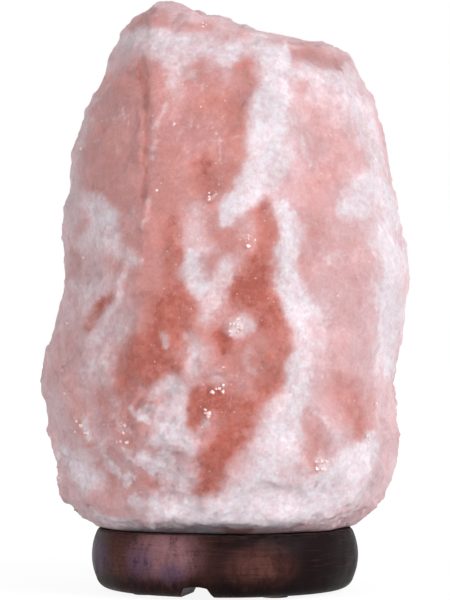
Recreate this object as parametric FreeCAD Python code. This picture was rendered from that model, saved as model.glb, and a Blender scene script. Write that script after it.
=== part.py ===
"""Salt crystal lamp: a hewn rock salt block on a turned wooden base, with a small screw bulb inside.

Millimetres, +Z up. The origin is on the base's axis, level with the bottom of the feet. The front is -Y.
"""

import FreeCAD, Part
import math
import os

Vector = FreeCAD.Vector
Z_AXIS = Vector(0, 0, 1)

# ---- driving dimensions: base ----
FOOT_RADIUS = 5.0
FOOT_HEIGHT = 1.0
BASE_RADIUS = 50.2
BASE_THICKNESS = 22.5
BASE_BOTTOM_ROUND = 5.2
BASE_SIDE_DROP = 1.6        # how far the side draws in again at the bottom round
BASE_TOP_DROP = 2.1         # and at the top face
BASE_TOP_EDGE = 0.8
BASE_ROUND_TURN = 75.0      # degrees that the bottom round turns through
BASE_BULGE_RISE = 12.4      # height of the widest part above the underside
RECESS_DEPTH = 10.0
RECESS_MARGIN = 3.5         # finger room round the holder's flange
GROOVE_WIDTH = 12.8         # cord outlet in the rim, at its mouth
GROOVE_CEILING = 8.7
GROOVE_HEIGHT = 4.2
GROOVE_CROWN = 0.6
GROOVE_ANGLE = 13.0         # degrees from the front, towards the left

# ---- driving dimensions: screws that hold the crystal ----
SCREW_HEAD_RADIUS = 4.0
SCREW_HEAD_HEIGHT = 2.6
SCREW_HEAD_ROUND = 0.8
SCREW_CROSS_REACH = 2.2
SCREW_CROSS_WIDTH = 1.0
SCREW_CROSS_DEPTH = 1.5
SCREW_TIP_RADIUS = 0.4
SCREW_RADIUS = 2.0
SCREW_LENGTH = 36.0
SCREW_POINT = 4.0
SCREW_CLEARANCE = 0.05
WASHER_RADIUS = 4.6
WASHER_THICKNESS = 1.0
COUNTERBORE_DEPTH = 8.0
COUNTERBORE_CLEARANCE = 0.2
COUNTERBORE_WALL = 1.5      # wood left between the recess and a counterbore
PLUG_RADIUS = 4.0
PLUG_LENGTH = 28.0
SCREW_COUNT = 3

# ---- driving dimensions: crystal ----
CRYSTAL_WIDTH = 139.6
CRYSTAL_DEPTH = 118.0
CRYSTAL_HEIGHT = 198.5
SEAT_HALF_WIDTH = 48.3      # the sawn flat that stands on the wood
SEAT_FRONT = 37.0
SEAT_BACK = 38.0
FACET_SIZE = 21.0           # the broken flats on the hewn faces
FACET_HEIGHT = 36.0
FACET_DEPTH = 3.0
BORE_MARGIN = 3.0           # how much wider the crystal's bore is than the base's hole
BORE_HEADROOM = 10.0        # above the bulb when it is unscrewed

# ---- driving dimensions: lampholder ----
BARREL_RADIUS = 14.0
FLANGE_LAP = 3.5            # flange under the wood round the hole
FLANGE_THICKNESS = 1.6
CAP_FLOOR = 3.0
CAP_HEIGHT = 16.6           # floor to rim
CORD_INLET_RADIUS = 3.2
CHAMBER_RADIUS = 9.0
CHAMBER_HEIGHT = 7.6
CORE_RADIUS = 10.0
CORE_HEIGHT = 14.0
CORE_FLANGE_RADIUS = 11.2
CORE_FLANGE_HEIGHT = 2.0
SLEEVE_RADIUS = 12.2
SLEEVE_WALL = 2.0
SLEEVE_LIP = 3.0
SLEEVE_ROUND = 0.8
SLIP_FIT = 0.2              # radial clearance between fixed pieces that slide together

# ---- driving dimensions: spring clip ----
HOLE_GAP = 0.35             # between the wings and the wall of the base's hole
WING_ROOM = 4.0             # between the barrel and the wall of the base's hole
CLIP_SHEET = 0.5
COLLAR_HEIGHT = 4.0
COLLAR_RISE = 1.0           # above the flange
WING_WIDTH = 7.0
WING_BOW_RISE = 4.9
WING_TIP_RISE = 15.9
WING_TIP_OUT = 0.6
WING_LIP = 1.6
HINGE_GAP = 0.1

# ---- driving dimensions: bulb and its screw shell ----
THREAD_PITCH = 2.822
THREAD_CREST = 6.95
THREAD_ROOT = 6.15
THREAD_ROOT_WIDTH = 1.7
THREAD_CREST_WIDTH = 0.9
THREAD_TURNS = 4.5
TRAVEL_TURNS = 5            # turns that free the bulb
THREAD_CLEARANCE = 0.12
THREAD_SINK = 0.15          # how deep the ridge runs into the tube that carries it
SHELL_RADIUS = 7.6
SHELL_HEIGHT = 20.0
SHELL_FLOOR = 0.4
SHELL_TO_LIP = 0.6
BULB_RADIUS = 14.0
BULB_LENGTH = 60.0
GLASS_WALL = 0.7
NECK_RADIUS = 5.5
CAP_WALL = 0.5
CAP_LENGTH = 16.5
GLASS_IN_CAP = 4.95         # how deep the glass and its stem reach into the cap
NECK_ABOVE_CAP = 1.5
CONTACT_RISE = 2.0          # bulb's centre contact above the core
CONTACT_RADIUS = 2.2
CONTACT_HEIGHT = 1.2
INSULATOR_HEIGHT = 2.4
INSULATOR_PLUG = 2.0        # how far it reaches up into the cap
STEM_RADIUS = 1.8
STEM_HEIGHT = 15.0
STEM_FOOT = 2.0
STEM_CONE = 7.0
LEAD_RADIUS = 0.25
LEAD_SPREAD = 6.0
LEAD_HEIGHT = 12.0
LEAD_STRAIGHT = 1.5
FILAMENT_RADIUS = 0.15
FILAMENT_RISE = 3.0
FILAMENT_CLEARANCE = 0.05   # between the filament and the top of its support

# ---- driving dimensions: small brass parts ----
STRIP_THICKNESS = 0.6
STRIP_WIDTH = 4.0
STRIP_PLACE = 4.8           # from the axis to the middle of each upright strip
TERMINAL_THICKNESS = 1.4
TERMINAL_WIDTH = 6.0
TERMINAL_REACH = 8.2
WIRE_SCREW_RADIUS = 1.2
WIRE_SCREW_HEAD = 1.8
WIRE_SCREW_HEAD_HEIGHT = 1.8
WIRE_SCREW_LENGTH = 6.0
WIRE_SCREW_SLOT = 0.5
RIVET_RADIUS = 0.8
RIVET_HEAD_RADIUS = 1.4
RIVET_HEAD_HEIGHT = 0.5
SHELL_RIVET_PLACE = 4.6
SHELL_RIVET_LENGTH = 6.0
TONGUE_THICKNESS = 0.4
TONGUE_LENGTH = 4.6
TONGUE_WIDTH = 3.2
TONGUE_FLAT = 1.6           # level end under the bulb's contact
TONGUE_FOOT = 0.4           # from the upright strip to the tongue's bend
SHELL_OPENING_ROOM = 0.5    # beside the strip in the shell's floor
SHELL_OPENING_BACK = 3.8    # how far the opening runs behind the axis
CLIP_RIVET_COVER = 1.5      # wall between the wire chamber and a clip rivet
TONGUE_GAP = 0.15           # under the bulb's centre contact

# ---- heights that follow ----
base_bottom = FOOT_HEIGHT
base_top = base_bottom + BASE_THICKNESS
ceiling = base_bottom + RECESS_DEPTH
flange_bottom = ceiling - FLANGE_THICKNESS
chamber_floor = flange_bottom + CAP_FLOOR
core_bottom = chamber_floor + CHAMBER_HEIGHT
sleeve_bottom = core_bottom + CORE_FLANGE_HEIGHT
cap_rim = flange_bottom + CAP_HEIGHT
core_top = core_bottom + CORE_HEIGHT
shell_top = core_top + SHELL_HEIGHT
sleeve_top = shell_top + SHELL_TO_LIP + SLEEVE_LIP
collar_bottom = ceiling + COLLAR_RISE
collar_top = collar_bottom + COLLAR_HEIGHT
contact_bottom = core_top + CONTACT_RISE
insulator_bottom = contact_bottom + CONTACT_HEIGHT
cap_bottom = insulator_bottom + INSULATOR_HEIGHT
bulb_top = contact_bottom + BULB_LENGTH
thread_bottom = cap_bottom + THREAD_ROOT_WIDTH / 2
bulb_travel = TRAVEL_TURNS * THREAD_PITCH
bore_top = bulb_top + bulb_travel + BORE_HEADROOM

# ---- radii and angles that follow ----
hole_radius = BARREL_RADIUS + WING_ROOM
flange_radius = hole_radius + FLANGE_LAP
recess_radius = flange_radius + RECESS_MARGIN
bore_radius = hole_radius + BORE_MARGIN
base_flat_radius = BASE_RADIUS - BASE_SIDE_DROP - BASE_BOTTOM_ROUND
counterbore_radius = WASHER_RADIUS + COUNTERBORE_CLEARANCE
screw_circle = recess_radius + COUNTERBORE_WALL + counterbore_radius
feet_circle = (recess_radius + base_flat_radius) / 2
groove_direction = 270.0 - GROOVE_ANGLE
screw_step = 360.0 / (SCREW_COUNT + 1)
screw_angles = [groove_direction + screw_step * (i + 1) for i in range(SCREW_COUNT)]
foot_angles = [groove_direction + screw_step * (i + 0.5) for i in range(SCREW_COUNT + 1)]


def cylinder(radius, low, high, x=0.0, y=0.0):
    """An upright round bar between two heights."""
    return Part.makeCylinder(radius, high - low, Vector(x, y, low))


def tube(outer, inner, low, high):
    return cylinder(outer, low, high).cut(cylinder(inner, low - 1, high + 1))


def box(x0, x1, y0, y1, z0, z1):
    return Part.makeBox(x1 - x0, y1 - y0, z1 - z0, Vector(x0, y0, z0))


def revolved(edges):
    """A solid of revolution round the Z axis from a closed outline in the XZ plane."""
    return Part.Face(Part.Wire(edges)).revolve(Vector(), Z_AXIS, 360)


def line(a, b):
    return Part.LineSegment(Vector(a[0], 0, a[1]), Vector(b[0], 0, b[1])).toShape()


def arc(a, middle, b):
    ends = [Vector(p[0], 0, p[1]) for p in (a, middle, b)]
    return Part.Arc(*ends).toShape()


def at_angle(radius, degrees):
    return (radius * math.cos(math.radians(degrees)), radius * math.sin(math.radians(degrees)))


def rod(points, radius):
    """A round wire along straight runs, with ball joints at its corners."""
    solid = None
    for start, end in zip(points, points[1:]):
        run = end - start
        piece = Part.makeCylinder(radius, run.Length, start, run)
        solid = piece if solid is None else solid.fuse([Part.makeSphere(radius, start), piece])
    return solid


def sheet_strip(points, thickness, width):
    """A bent sheet strip in the XZ plane, as wide as asked along Y, through the given centre-line points."""
    pieces = []
    for start, end in zip(points, points[1:]):
        run = Vector(end[0] - start[0], 0, end[1] - start[1])
        leaf = Part.makeBox(run.Length, width, thickness, Vector(0, -width / 2, -thickness / 2))
        tilt = math.degrees(math.atan2(run.z, run.x))
        leaf.Placement = FreeCAD.Placement(
            Vector(start[0], 0, start[1]), FreeCAD.Rotation(Vector(0, -1, 0), tilt)
        )
        pieces.append(leaf)
    for x, z in points[1:-1]:
        bend = Part.makeCylinder(thickness / 2, width, Vector(x, -width / 2, z), Vector(0, 1, 0))
        pieces.append(bend)
    return pieces[0].fuse(pieces[1:]).removeSplitter()


def screw_thread(root_radius, crest_radius, root_width, crest_width, turns, start):
    """A helical ridge of the bulb's pitch, whose section is widest at the root radius."""
    helix = Part.makeHelix(THREAD_PITCH, THREAD_PITCH * turns, root_radius)
    helix.translate(Vector(0, 0, start))
    outline = [
        Vector(root_radius, 0, start - root_width / 2),
        Vector(crest_radius, 0, start - crest_width / 2),
        Vector(crest_radius, 0, start + crest_width / 2),
        Vector(root_radius, 0, start + root_width / 2),
    ]
    section = Part.makePolygon(outline + outline[:1])
    return Part.Wire(helix.Edges).makePipeShell([section], True, True)


# ---- crystal ----
# One row per level: its height, then its left, right, front and back reach from the axis, all as shares of the
# overall sizes, then where the main ridge, the middle of the front and the crease stand across the level.
CRYSTAL_LEVELS = [
    (0.024, -0.794, 0.751, -0.78, 0.77, 0.36, 0.00, -0.44),
    (0.053, -0.872, 0.831, -0.86, 0.84, 0.35, -0.01, -0.41),
    (0.108, -0.916, 0.917, -0.93, 0.90, 0.33, -0.02, -0.44),
    (0.174, -0.953, 0.931, -0.98, 0.95, 0.30, -0.07, -0.47),
    (0.270, -1.007, 0.907, -1.00, 0.98, 0.26, -0.09, -0.45),
    (0.355, -0.953, 0.944, -1.00, 0.99, 0.33, -0.12, -0.48),
    (0.441, -0.883, 0.983, -0.98, 1.00, 0.33, -0.15, -0.54),
    (0.476, -0.858, 0.993, -0.96, 0.99, 0.30, -0.14, -0.55),
    (0.547, -0.881, 0.958, -0.92, 0.97, 0.33, -0.04, -0.51),
    (0.637, -0.858, 0.923, -0.86, 0.92, 0.34, 0.08, -0.51),
    (0.723, -0.824, 0.868, -0.79, 0.84, 0.37, 0.18, -0.51),
    (0.799, -0.751, 0.805, -0.71, 0.74, 0.42, 0.20, -0.54),
    (0.854, -0.668, 0.739, -0.63, 0.65, 0.46, 0.20, -0.59),
    (0.902, -0.623, 0.639, -0.55, 0.55, 0.50, 0.18, -0.57),
    (0.925, -0.587, 0.360, -0.48, 0.46, 0.60, 0.15, -0.50),
    (0.950, -0.559, 0.145, -0.41, 0.37, 0.55, 0.10, -0.50),
    (0.976, -0.491, -0.050, -0.31, 0.24, 0.50, 0.00, -0.50),
    (1.000, -0.387, -0.258, -0.15, 0.04, 0.50, 0.00, -0.50),
]
SEAT_PLACES = (0.34, 0.0, -0.44)
# The other corners of a level, as shares of its half width and of its front or back reach.
RIGHT_SHOULDER = (0.80, 0.66)
RIDGE_SHARE = 0.96
CREASE_SHARE = 0.90
LEFT_SHOULDER = (-0.80, 0.60)
BACK_CORNERS = [(-0.82, 0.58), (-0.40, 0.94), (0.06, 1.00), (0.48, 0.92), (0.84, 0.56)]
UNEVENNESS = 0.035          # how far a corner strays from its share, so that no two facets match
SIDE_SHARE = 0.06           # how far behind or in front of the middle the widest corners lie
EXACT_CORNERS = (0, 3, 6, 9)
DEEP_SHARE = 0.985          # a level that reaches this share of the depth keeps its front and back too
FACET_TILT = 0.75           # steepest rise of a flat across its own size, as a share of the facet depth
FACET_STEP = 0.20           # how much flats differ in height, in the same way
FACET_LIFT = 0.25           # lifts them all, so that they lie about the level's own outline


def chance(*counts):
    """A fixed number from 0 to 1 for each set of whole numbers."""
    mixed = 17
    for count in counts:
        mixed = (31 * mixed + count + 101) * 2654435761 % 2 ** 32
        mixed ^= mixed >> 13
    return mixed / 2 ** 32


def facet_rise(point):
    """How proud the broken salt stands at a point, as a share of the facet depth: tilted flats that meet in ridges."""
    place = (point.x / FACET_SIZE, point.y / FACET_SIZE, point.z / FACET_HEIGHT)
    cell = [math.floor(p) for p in place]
    flats = []
    for i in (-1, 0, 1):
        for j in (-1, 0, 1):
            for k in (-1, 0, 1):
                spot = (cell[0] + i, cell[1] + j, cell[2] + k)
                off = [p - s - chance(*spot, axis) for axis, (p, s) in enumerate(zip(place, spot))]
                flats.append((sum(d * d for d in off), spot, off))
    rises = []
    for _, spot, off in sorted(flats)[:3]:
        slope = sum(d * FACET_TILT * (2 * chance(*spot, axis + 3) - 1) for axis, d in enumerate(off))
        rises.append(slope + FACET_STEP * (2 * chance(*spot, 6) - 1))
    return min(rises) + FACET_LIFT


def broken_outline(corners, centre, keep_ends):
    """Twice as many corners, moved in and out of the outline as the flats ask. The two sides keep their reach."""
    outline = []
    for k, corner in enumerate(corners):
        outline += [corner, (corner + corners[(k + 1) % len(corners)]) / 2]
    count = len(outline)
    exact = {0, count // 2} | ({count // 4, 3 * count // 4} if keep_ends else set())
    for k, corner in enumerate(outline):
        if k not in exact:
            out = Vector(corner.x - centre.x, corner.y - centre.y, 0).normalize()
            outline[k] = corner + out * (FACET_DEPTH * facet_rise(corner))
    return outline


def level_corners(row, z, reach, places):
    """The corners of one level of the crystal, clockwise from behind its right side."""
    left, right, front, back = reach
    ridge, middle, crease = places
    middle_x = (left + right) / 2
    middle_y = (front + back) / 2
    half_width = (right - left) / 2
    half_depth = (back - front) / 2
    shares = [
        (1.0, SIDE_SHARE),
        (RIGHT_SHOULDER[0], -RIGHT_SHOULDER[1]),
        (ridge, -RIDGE_SHARE),
        (middle, -1.0),
        (crease, -CREASE_SHARE),
        (LEFT_SHOULDER[0], -LEFT_SHOULDER[1]),
        (-1.0, -SIDE_SHARE),
    ]
    shares += BACK_CORNERS
    points = []
    for k, (across, deep) in enumerate(shares):
        stray = 0.0 if k in EXACT_CORNERS else UNEVENNESS * math.sin(2.3 * row + 1.9 * k)
        x = middle_x + across * half_width * (1 + stray)
        y = middle_y + deep * half_depth * (1 - stray)
        points.append(Vector(x, y, z))
    deepest = max(abs(front), abs(back)) > DEEP_SHARE * CRYSTAL_DEPTH / 2
    return broken_outline(points, Vector(middle_x, middle_y, z), row == 0 or deepest)


def hewn_block():
    """Flat triangular facets between the levels, closed by the sawn seat and the small top facet."""
    half_width = CRYSTAL_WIDTH / 2
    half_depth = CRYSTAL_DEPTH / 2
    seat = (-SEAT_HALF_WIDTH, SEAT_HALF_WIDTH, -SEAT_FRONT, SEAT_BACK)
    levels = [level_corners(0, base_top, seat, SEAT_PLACES)]
    for row, (height, left, right, front, back, *places) in enumerate(CRYSTAL_LEVELS, 1):
        reach = (left * half_width, right * half_width, front * half_depth, back * half_depth)
        levels.append(level_corners(row, base_top + height * CRYSTAL_HEIGHT, reach, places))
    faces = [flat_face(levels[0]), flat_face(levels[-1])]
    count = len(levels[0])
    for row, (low, high) in enumerate(zip(levels, levels[1:])):
        for k in range(count):
            a, b = low[k], low[(k + 1) % count]
            c, d = high[(k + 1) % count], high[k]
            if (row + k) % 2:
                faces += [flat_face([a, b, c]), flat_face([a, c, d])]
            else:
                faces += [flat_face([a, b, d]), flat_face([b, c, d])]
    block = Part.makeSolid(Part.makeShell(faces))
    if block.Volume < 0:
        block.reverse()
    return block


def flat_face(points):
    return Part.Face(Part.makePolygon(points + points[:1]))


def salt_crystal():
    block = hewn_block()
    cuts = [cylinder(bore_radius, base_top - 1, bore_top)]
    for angle in screw_angles:
        x, y = at_angle(screw_circle, angle)
        cuts.append(cylinder(PLUG_RADIUS, base_top - 1, base_top + PLUG_LENGTH, x, y))
    return block.cut(cuts)


# ---- base ----
def base_blank():
    """The turned disc: flat underneath, a round bottom edge, a gently bulging side and a flat top."""
    round_angle = math.radians(BASE_ROUND_TURN)
    half_angle = round_angle / 2
    flat_end = (base_flat_radius, base_bottom)
    round_middle = (
        base_flat_radius + BASE_BOTTOM_ROUND * math.sin(half_angle),
        base_bottom + BASE_BOTTOM_ROUND * (1 - math.cos(half_angle)),
    )
    round_end = (
        base_flat_radius + BASE_BOTTOM_ROUND * math.sin(round_angle),
        base_bottom + BASE_BOTTOM_ROUND * (1 - math.cos(round_angle)),
    )
    widest = (BASE_RADIUS, base_bottom + BASE_BULGE_RISE)
    top_edge = (BASE_RADIUS - BASE_TOP_DROP, base_top - BASE_TOP_EDGE)
    top_flat = (top_edge[0] - BASE_TOP_EDGE, base_top)
    return revolved([
        line((0, base_bottom), flat_end),
        arc(flat_end, round_middle, round_end),
        arc(round_end, widest, top_edge),
        line(top_edge, top_flat),
        line(top_flat, (0, base_top)),
        line((0, base_top), (0, base_bottom)),
    ])


def cord_groove():
    """The outlet's tapering channel with a slightly arched ceiling, from the recess out past the rim."""
    low = base_bottom - 1
    widen = (GROOVE_WIDTH - GROOVE_CEILING) / 2 / GROOVE_HEIGHT
    mouth = GROOVE_WIDTH / 2 + widen
    corner = GROOVE_CEILING / 2
    ceiling_edge = base_bottom + GROOVE_HEIGHT - GROOVE_CROWN
    crown = base_bottom + GROOVE_HEIGHT
    channel = Part.Face(Part.Wire([
        line((-mouth, low), (mouth, low)),
        line((mouth, low), (corner, ceiling_edge)),
        arc((corner, ceiling_edge), (0, crown), (-corner, ceiling_edge)),
        line((-corner, ceiling_edge), (-mouth, low)),
    ]))
    start = recess_radius - GROOVE_WIDTH / 4
    channel.translate(Vector(0, -start, 0))
    groove = channel.extrude(Vector(0, -(BASE_RADIUS - start + 2), 0))
    groove.rotate(Vector(), Z_AXIS, -GROOVE_ANGLE)
    return groove


def wooden_base():
    cuts = [
        cylinder(hole_radius, base_bottom - 1, base_top + 1),
        cylinder(recess_radius, base_bottom - 1, ceiling),
        cord_groove(),
    ]
    for angle in screw_angles:
        x, y = at_angle(screw_circle, angle)
        cuts.append(cylinder(counterbore_radius, base_bottom - 1, base_bottom + COUNTERBORE_DEPTH, x, y))
        cuts.append(cylinder(SCREW_RADIUS + SLIP_FIT, base_bottom, base_top + 1, x, y))
    return base_blank().cut(cuts)


def base_feet():
    spots = [at_angle(feet_circle, angle) for angle in foot_angles]
    return Part.makeCompound([cylinder(FOOT_RADIUS, 0, base_bottom, x, y) for x, y in spots])


# ---- screws through the base ----
def screw_seat():
    """Height of the washer's upper face, at the counterbore's floor."""
    return base_bottom + COUNTERBORE_DEPTH


def base_screw(x, y):
    head_top = screw_seat() - WASHER_THICKNESS
    head = cylinder(SCREW_HEAD_RADIUS, head_top - SCREW_HEAD_HEIGHT, head_top, x, y)
    rim = [edge for edge in head.Edges if edge.BoundBox.ZMax < head_top - SCREW_HEAD_HEIGHT / 2]
    head = head.makeFillet(SCREW_HEAD_ROUND, rim)
    shank_top = head_top + SCREW_LENGTH - SCREW_POINT
    shank = cylinder(SCREW_RADIUS, head_top, shank_top, x, y)
    point = Part.makeCone(SCREW_RADIUS, SCREW_TIP_RADIUS, SCREW_POINT, Vector(x, y, shank_top))
    slot = SCREW_CROSS_REACH
    wide = SCREW_CROSS_WIDTH / 2
    low = head_top - SCREW_HEAD_HEIGHT - 1
    deep = head_top - SCREW_HEAD_HEIGHT + SCREW_CROSS_DEPTH
    cross = [box(x - slot, x + slot, y - wide, y + wide, low, deep)]
    cross.append(box(x - wide, x + wide, y - slot, y + slot, low, deep))
    return head.fuse([shank, point]).cut(cross)


def base_screws():
    return Part.makeCompound([base_screw(*at_angle(screw_circle, angle)) for angle in screw_angles])


def screw_washers():
    washers = []
    for angle in screw_angles:
        ring = tube(WASHER_RADIUS, SCREW_RADIUS + SLIP_FIT, screw_seat() - WASHER_THICKNESS, screw_seat())
        ring.translate(Vector(*at_angle(screw_circle, angle), 0))
        washers.append(ring)
    return Part.makeCompound(washers)


def screw_plugs():
    plugs = []
    pilot_top = screw_seat() - WASHER_THICKNESS + SCREW_LENGTH + SLIP_FIT
    for angle in screw_angles:
        x, y = at_angle(screw_circle, angle)
        plug = cylinder(PLUG_RADIUS, base_top, base_top + PLUG_LENGTH, x, y)
        plugs.append(plug.cut(cylinder(SCREW_RADIUS + SCREW_CLEARANCE, base_top - 1, pilot_top, x, y)))
    return Part.makeCompound(plugs)


# ---- lampholder ----
def holder_cap():
    """Lower housing: a flange under the wood, a barrel, the chamber for the wires and the cord inlet."""
    solid = cylinder(flange_radius, flange_bottom, ceiling).fuse(cylinder(BARREL_RADIUS, flange_bottom, cap_rim))
    cuts = [
        cylinder(CORD_INLET_RADIUS, flange_bottom - 1, chamber_floor + 1),
        cylinder(CHAMBER_RADIUS, chamber_floor, core_bottom + 1),
        cylinder(CORE_FLANGE_RADIUS + SLIP_FIT, core_bottom, sleeve_bottom + 1),
        cylinder(SLEEVE_RADIUS + SLIP_FIT, sleeve_bottom, cap_rim + 1),
    ]
    for side in (-1, 1):
        start = Vector(0, side * (CHAMBER_RADIUS + 1), (collar_bottom + collar_top) / 2)
        cuts.append(Part.makeCylinder(RIVET_RADIUS, BARREL_RADIUS, start, Vector(0, side, 0)))
    return solid.cut(cuts)


def holder_sleeve():
    inner = SLEEVE_RADIUS - SLEEVE_WALL
    lip_bottom = sleeve_top - SLEEVE_LIP
    solid = cylinder(SLEEVE_RADIUS, sleeve_bottom, sleeve_top)
    rim = [edge for edge in solid.Edges if edge.BoundBox.ZMin > sleeve_top - 0.1]
    solid = solid.makeFillet(SLEEVE_ROUND, rim)
    mouth = SHELL_RADIUS + SLIP_FIT
    return solid.cut([cylinder(inner, sleeve_bottom - 1, lip_bottom), cylinder(mouth, lip_bottom - 1, sleeve_top + 1)])


def strip_slot(side):
    """The opening in the core that an upright strip passes through, on the +Y or -Y side."""
    half = STRIP_THICKNESS / 2 + SLIP_FIT / 2
    wide = STRIP_WIDTH / 2 + SLIP_FIT / 2
    middle = side * STRIP_PLACE
    return box(-wide, wide, middle - half, middle + half, core_bottom - 1, core_top + 1)


def wire_screw_place():
    return STRIP_PLACE + STRIP_THICKNESS / 2 + WIRE_SCREW_RADIUS + SLIP_FIT


def holder_core():
    solid = cylinder(CORE_FLANGE_RADIUS, core_bottom, sleeve_bottom).fuse(cylinder(CORE_RADIUS, core_bottom, core_top))
    cuts = [strip_slot(1), strip_slot(-1)]
    for side in (-1, 1):
        screw_top = core_bottom - TERMINAL_THICKNESS + WIRE_SCREW_LENGTH
        cuts.append(cylinder(WIRE_SCREW_RADIUS, core_bottom - 1, screw_top, 0, side * wire_screw_place()))
        rivet_bottom = core_top + SHELL_FLOOR - SHELL_RIVET_LENGTH
        cuts.append(cylinder(RIVET_RADIUS, rivet_bottom, core_top + 1, side * SHELL_RIVET_PLACE))
    return solid.cut(cuts)


def terminal(side):
    """The plate under the core and the upright strip that rises through it, on the +Y or -Y side."""
    inner = STRIP_PLACE - STRIP_THICKNESS / 2
    half = TERMINAL_WIDTH / 2
    low = core_bottom - TERMINAL_THICKNESS
    plate = box(-half, half, inner, TERMINAL_REACH, low, core_bottom)
    strip = box(-STRIP_WIDTH / 2, STRIP_WIDTH / 2, inner, inner + STRIP_THICKNESS, low, core_top)
    solid = plate.fuse(strip).cut(cylinder(WIRE_SCREW_RADIUS, low - 1, core_bottom + 1, 0, wire_screw_place()))
    if side < 0:
        solid = solid.mirror(Vector(), Vector(0, 1, 0))
    return solid


def live_terminal():
    """The live strip folds over on top of the core, as the foot of the contact tongue."""
    outer = STRIP_PLACE + STRIP_THICKNESS / 2
    foot = box(-STRIP_WIDTH / 2, STRIP_WIDTH / 2, tongue_root(), outer, core_top, core_top + TONGUE_THICKNESS)
    return terminal(1).fuse(foot).removeSplitter()


def neutral_terminal():
    return terminal(-1).removeSplitter()


def terminal_screws():
    screws = []
    for side in (-1, 1):
        y = side * wire_screw_place()
        plate_bottom = core_bottom - TERMINAL_THICKNESS
        head = cylinder(WIRE_SCREW_HEAD, plate_bottom - WIRE_SCREW_HEAD_HEIGHT, plate_bottom, 0, y)
        shank = cylinder(WIRE_SCREW_RADIUS, plate_bottom, plate_bottom + WIRE_SCREW_LENGTH, 0, y)
        slot_deep = plate_bottom - WIRE_SCREW_HEAD_HEIGHT / 2
        half_slot = WIRE_SCREW_SLOT / 2
        slot = box(-WIRE_SCREW_HEAD, WIRE_SCREW_HEAD, y - half_slot, y + half_slot, flange_bottom, slot_deep)
        screws.append(head.fuse(shank).cut(slot))
    return Part.makeCompound(screws)


def tongue_root():
    """How far from the axis the tongue bends up, inside the upright strip."""
    return STRIP_PLACE - STRIP_THICKNESS / 2 - TONGUE_FOOT


def contact_tongue():
    """A springy leaf that rises from its bend towards the bulb's centre contact."""
    start = tongue_root() - HINGE_GAP
    low = core_top + TONGUE_THICKNESS / 2
    high = contact_bottom - TONGUE_GAP - TONGUE_THICKNESS / 2
    tip = start - TONGUE_LENGTH
    bend = tip + TONGUE_FLAT
    leaf = sheet_strip([(start, low), (bend, high), (tip, high)], TONGUE_THICKNESS, TONGUE_WIDTH)
    leaf.rotate(Vector(), Z_AXIS, 90)
    return leaf


def screw_shell():
    """Brass shell with the rolled inner thread and a riveted floor, open towards the contact tongue."""
    groove_root = THREAD_CREST + THREAD_CLEARANCE
    land = THREAD_ROOT + THREAD_CLEARANCE
    tool_root = THREAD_ROOT - THREAD_SINK
    wide = THREAD_ROOT_WIDTH + 2 * THREAD_CLEARANCE
    narrow = THREAD_CREST_WIDTH + 2 * THREAD_CLEARANCE
    turns = math.ceil((shell_top - thread_bottom) / THREAD_PITCH) + 2
    groove = screw_thread(tool_root, groove_root, wide, narrow, turns, thread_bottom - THREAD_PITCH)
    tap = cylinder(land, core_top, shell_top + 2 * THREAD_PITCH).fuse(groove)
    wall = cylinder(SHELL_RADIUS, core_top + SHELL_FLOOR, shell_top).cut(tap)
    floor = cylinder(SHELL_RADIUS, core_top, core_top + SHELL_FLOOR)
    opening = STRIP_WIDTH / 2 + SHELL_OPENING_ROOM
    floor = floor.cut(box(-opening, opening, -SHELL_OPENING_BACK, SHELL_RADIUS, core_top - 1, core_top + 2))
    for side in (-1, 1):
        floor = floor.cut(cylinder(RIVET_RADIUS, core_top - 1, core_top + 2, side * SHELL_RIVET_PLACE))
    return wall.fuse(floor)


def shell_rivets():
    rivets = []
    seat = core_top + SHELL_FLOOR
    for side in (-1, 1):
        x = side * SHELL_RIVET_PLACE
        shank = cylinder(RIVET_RADIUS, seat - SHELL_RIVET_LENGTH, seat, x)
        rivets.append(cylinder(RIVET_HEAD_RADIUS, seat, seat + RIVET_HEAD_HEIGHT, x).fuse(shank))
    return Part.makeCompound(rivets)


# ---- spring clip ----
def clip_collar():
    inner = BARREL_RADIUS + SLIP_FIT / 2
    band = tube(inner + CLIP_SHEET, inner, collar_bottom, collar_top)
    middle = Vector(0, -2 * BARREL_RADIUS, (collar_bottom + collar_top) / 2)
    return band.cut(Part.makeCylinder(RIVET_RADIUS, 4 * BARREL_RADIUS, middle, Vector(0, 1, 0)))


def clip_rivets():
    rivets = []
    outer = BARREL_RADIUS + SLIP_FIT / 2 + CLIP_SHEET
    inner = CHAMBER_RADIUS + CLIP_RIVET_COVER
    height = (collar_bottom + collar_top) / 2
    for side in (-1, 1):
        out = Vector(0, side, 0)
        inner_end = Vector(0, side * inner, height)
        shank = Part.makeCylinder(RIVET_RADIUS, outer - inner, inner_end, out)
        head = Part.makeCylinder(RIVET_HEAD_RADIUS, RIVET_HEAD_HEIGHT, Vector(0, side * outer, height), out)
        rivets.append(shank.fuse(head))
    return Part.makeCompound(rivets)


def wing_root():
    return BARREL_RADIUS + SLIP_FIT / 2 + CLIP_SHEET / 2


def spring_wing(side):
    """A leaf that bows out to the hole's wall and comes back to a finger lip, on the +X or -X side."""
    root = wing_root()
    bow = hole_radius - HOLE_GAP - CLIP_SHEET / 2
    start = collar_top + HINGE_GAP
    points = [
        (root, start),
        (bow, start + WING_BOW_RISE),
        (root + WING_TIP_OUT, start + WING_TIP_RISE),
        (root + 2 * WING_TIP_OUT, start + WING_TIP_RISE + WING_LIP),
    ]
    leaf = sheet_strip(points, CLIP_SHEET, WING_WIDTH)
    if side < 0:
        leaf.rotate(Vector(), Z_AXIS, 180)
    return leaf


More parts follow.
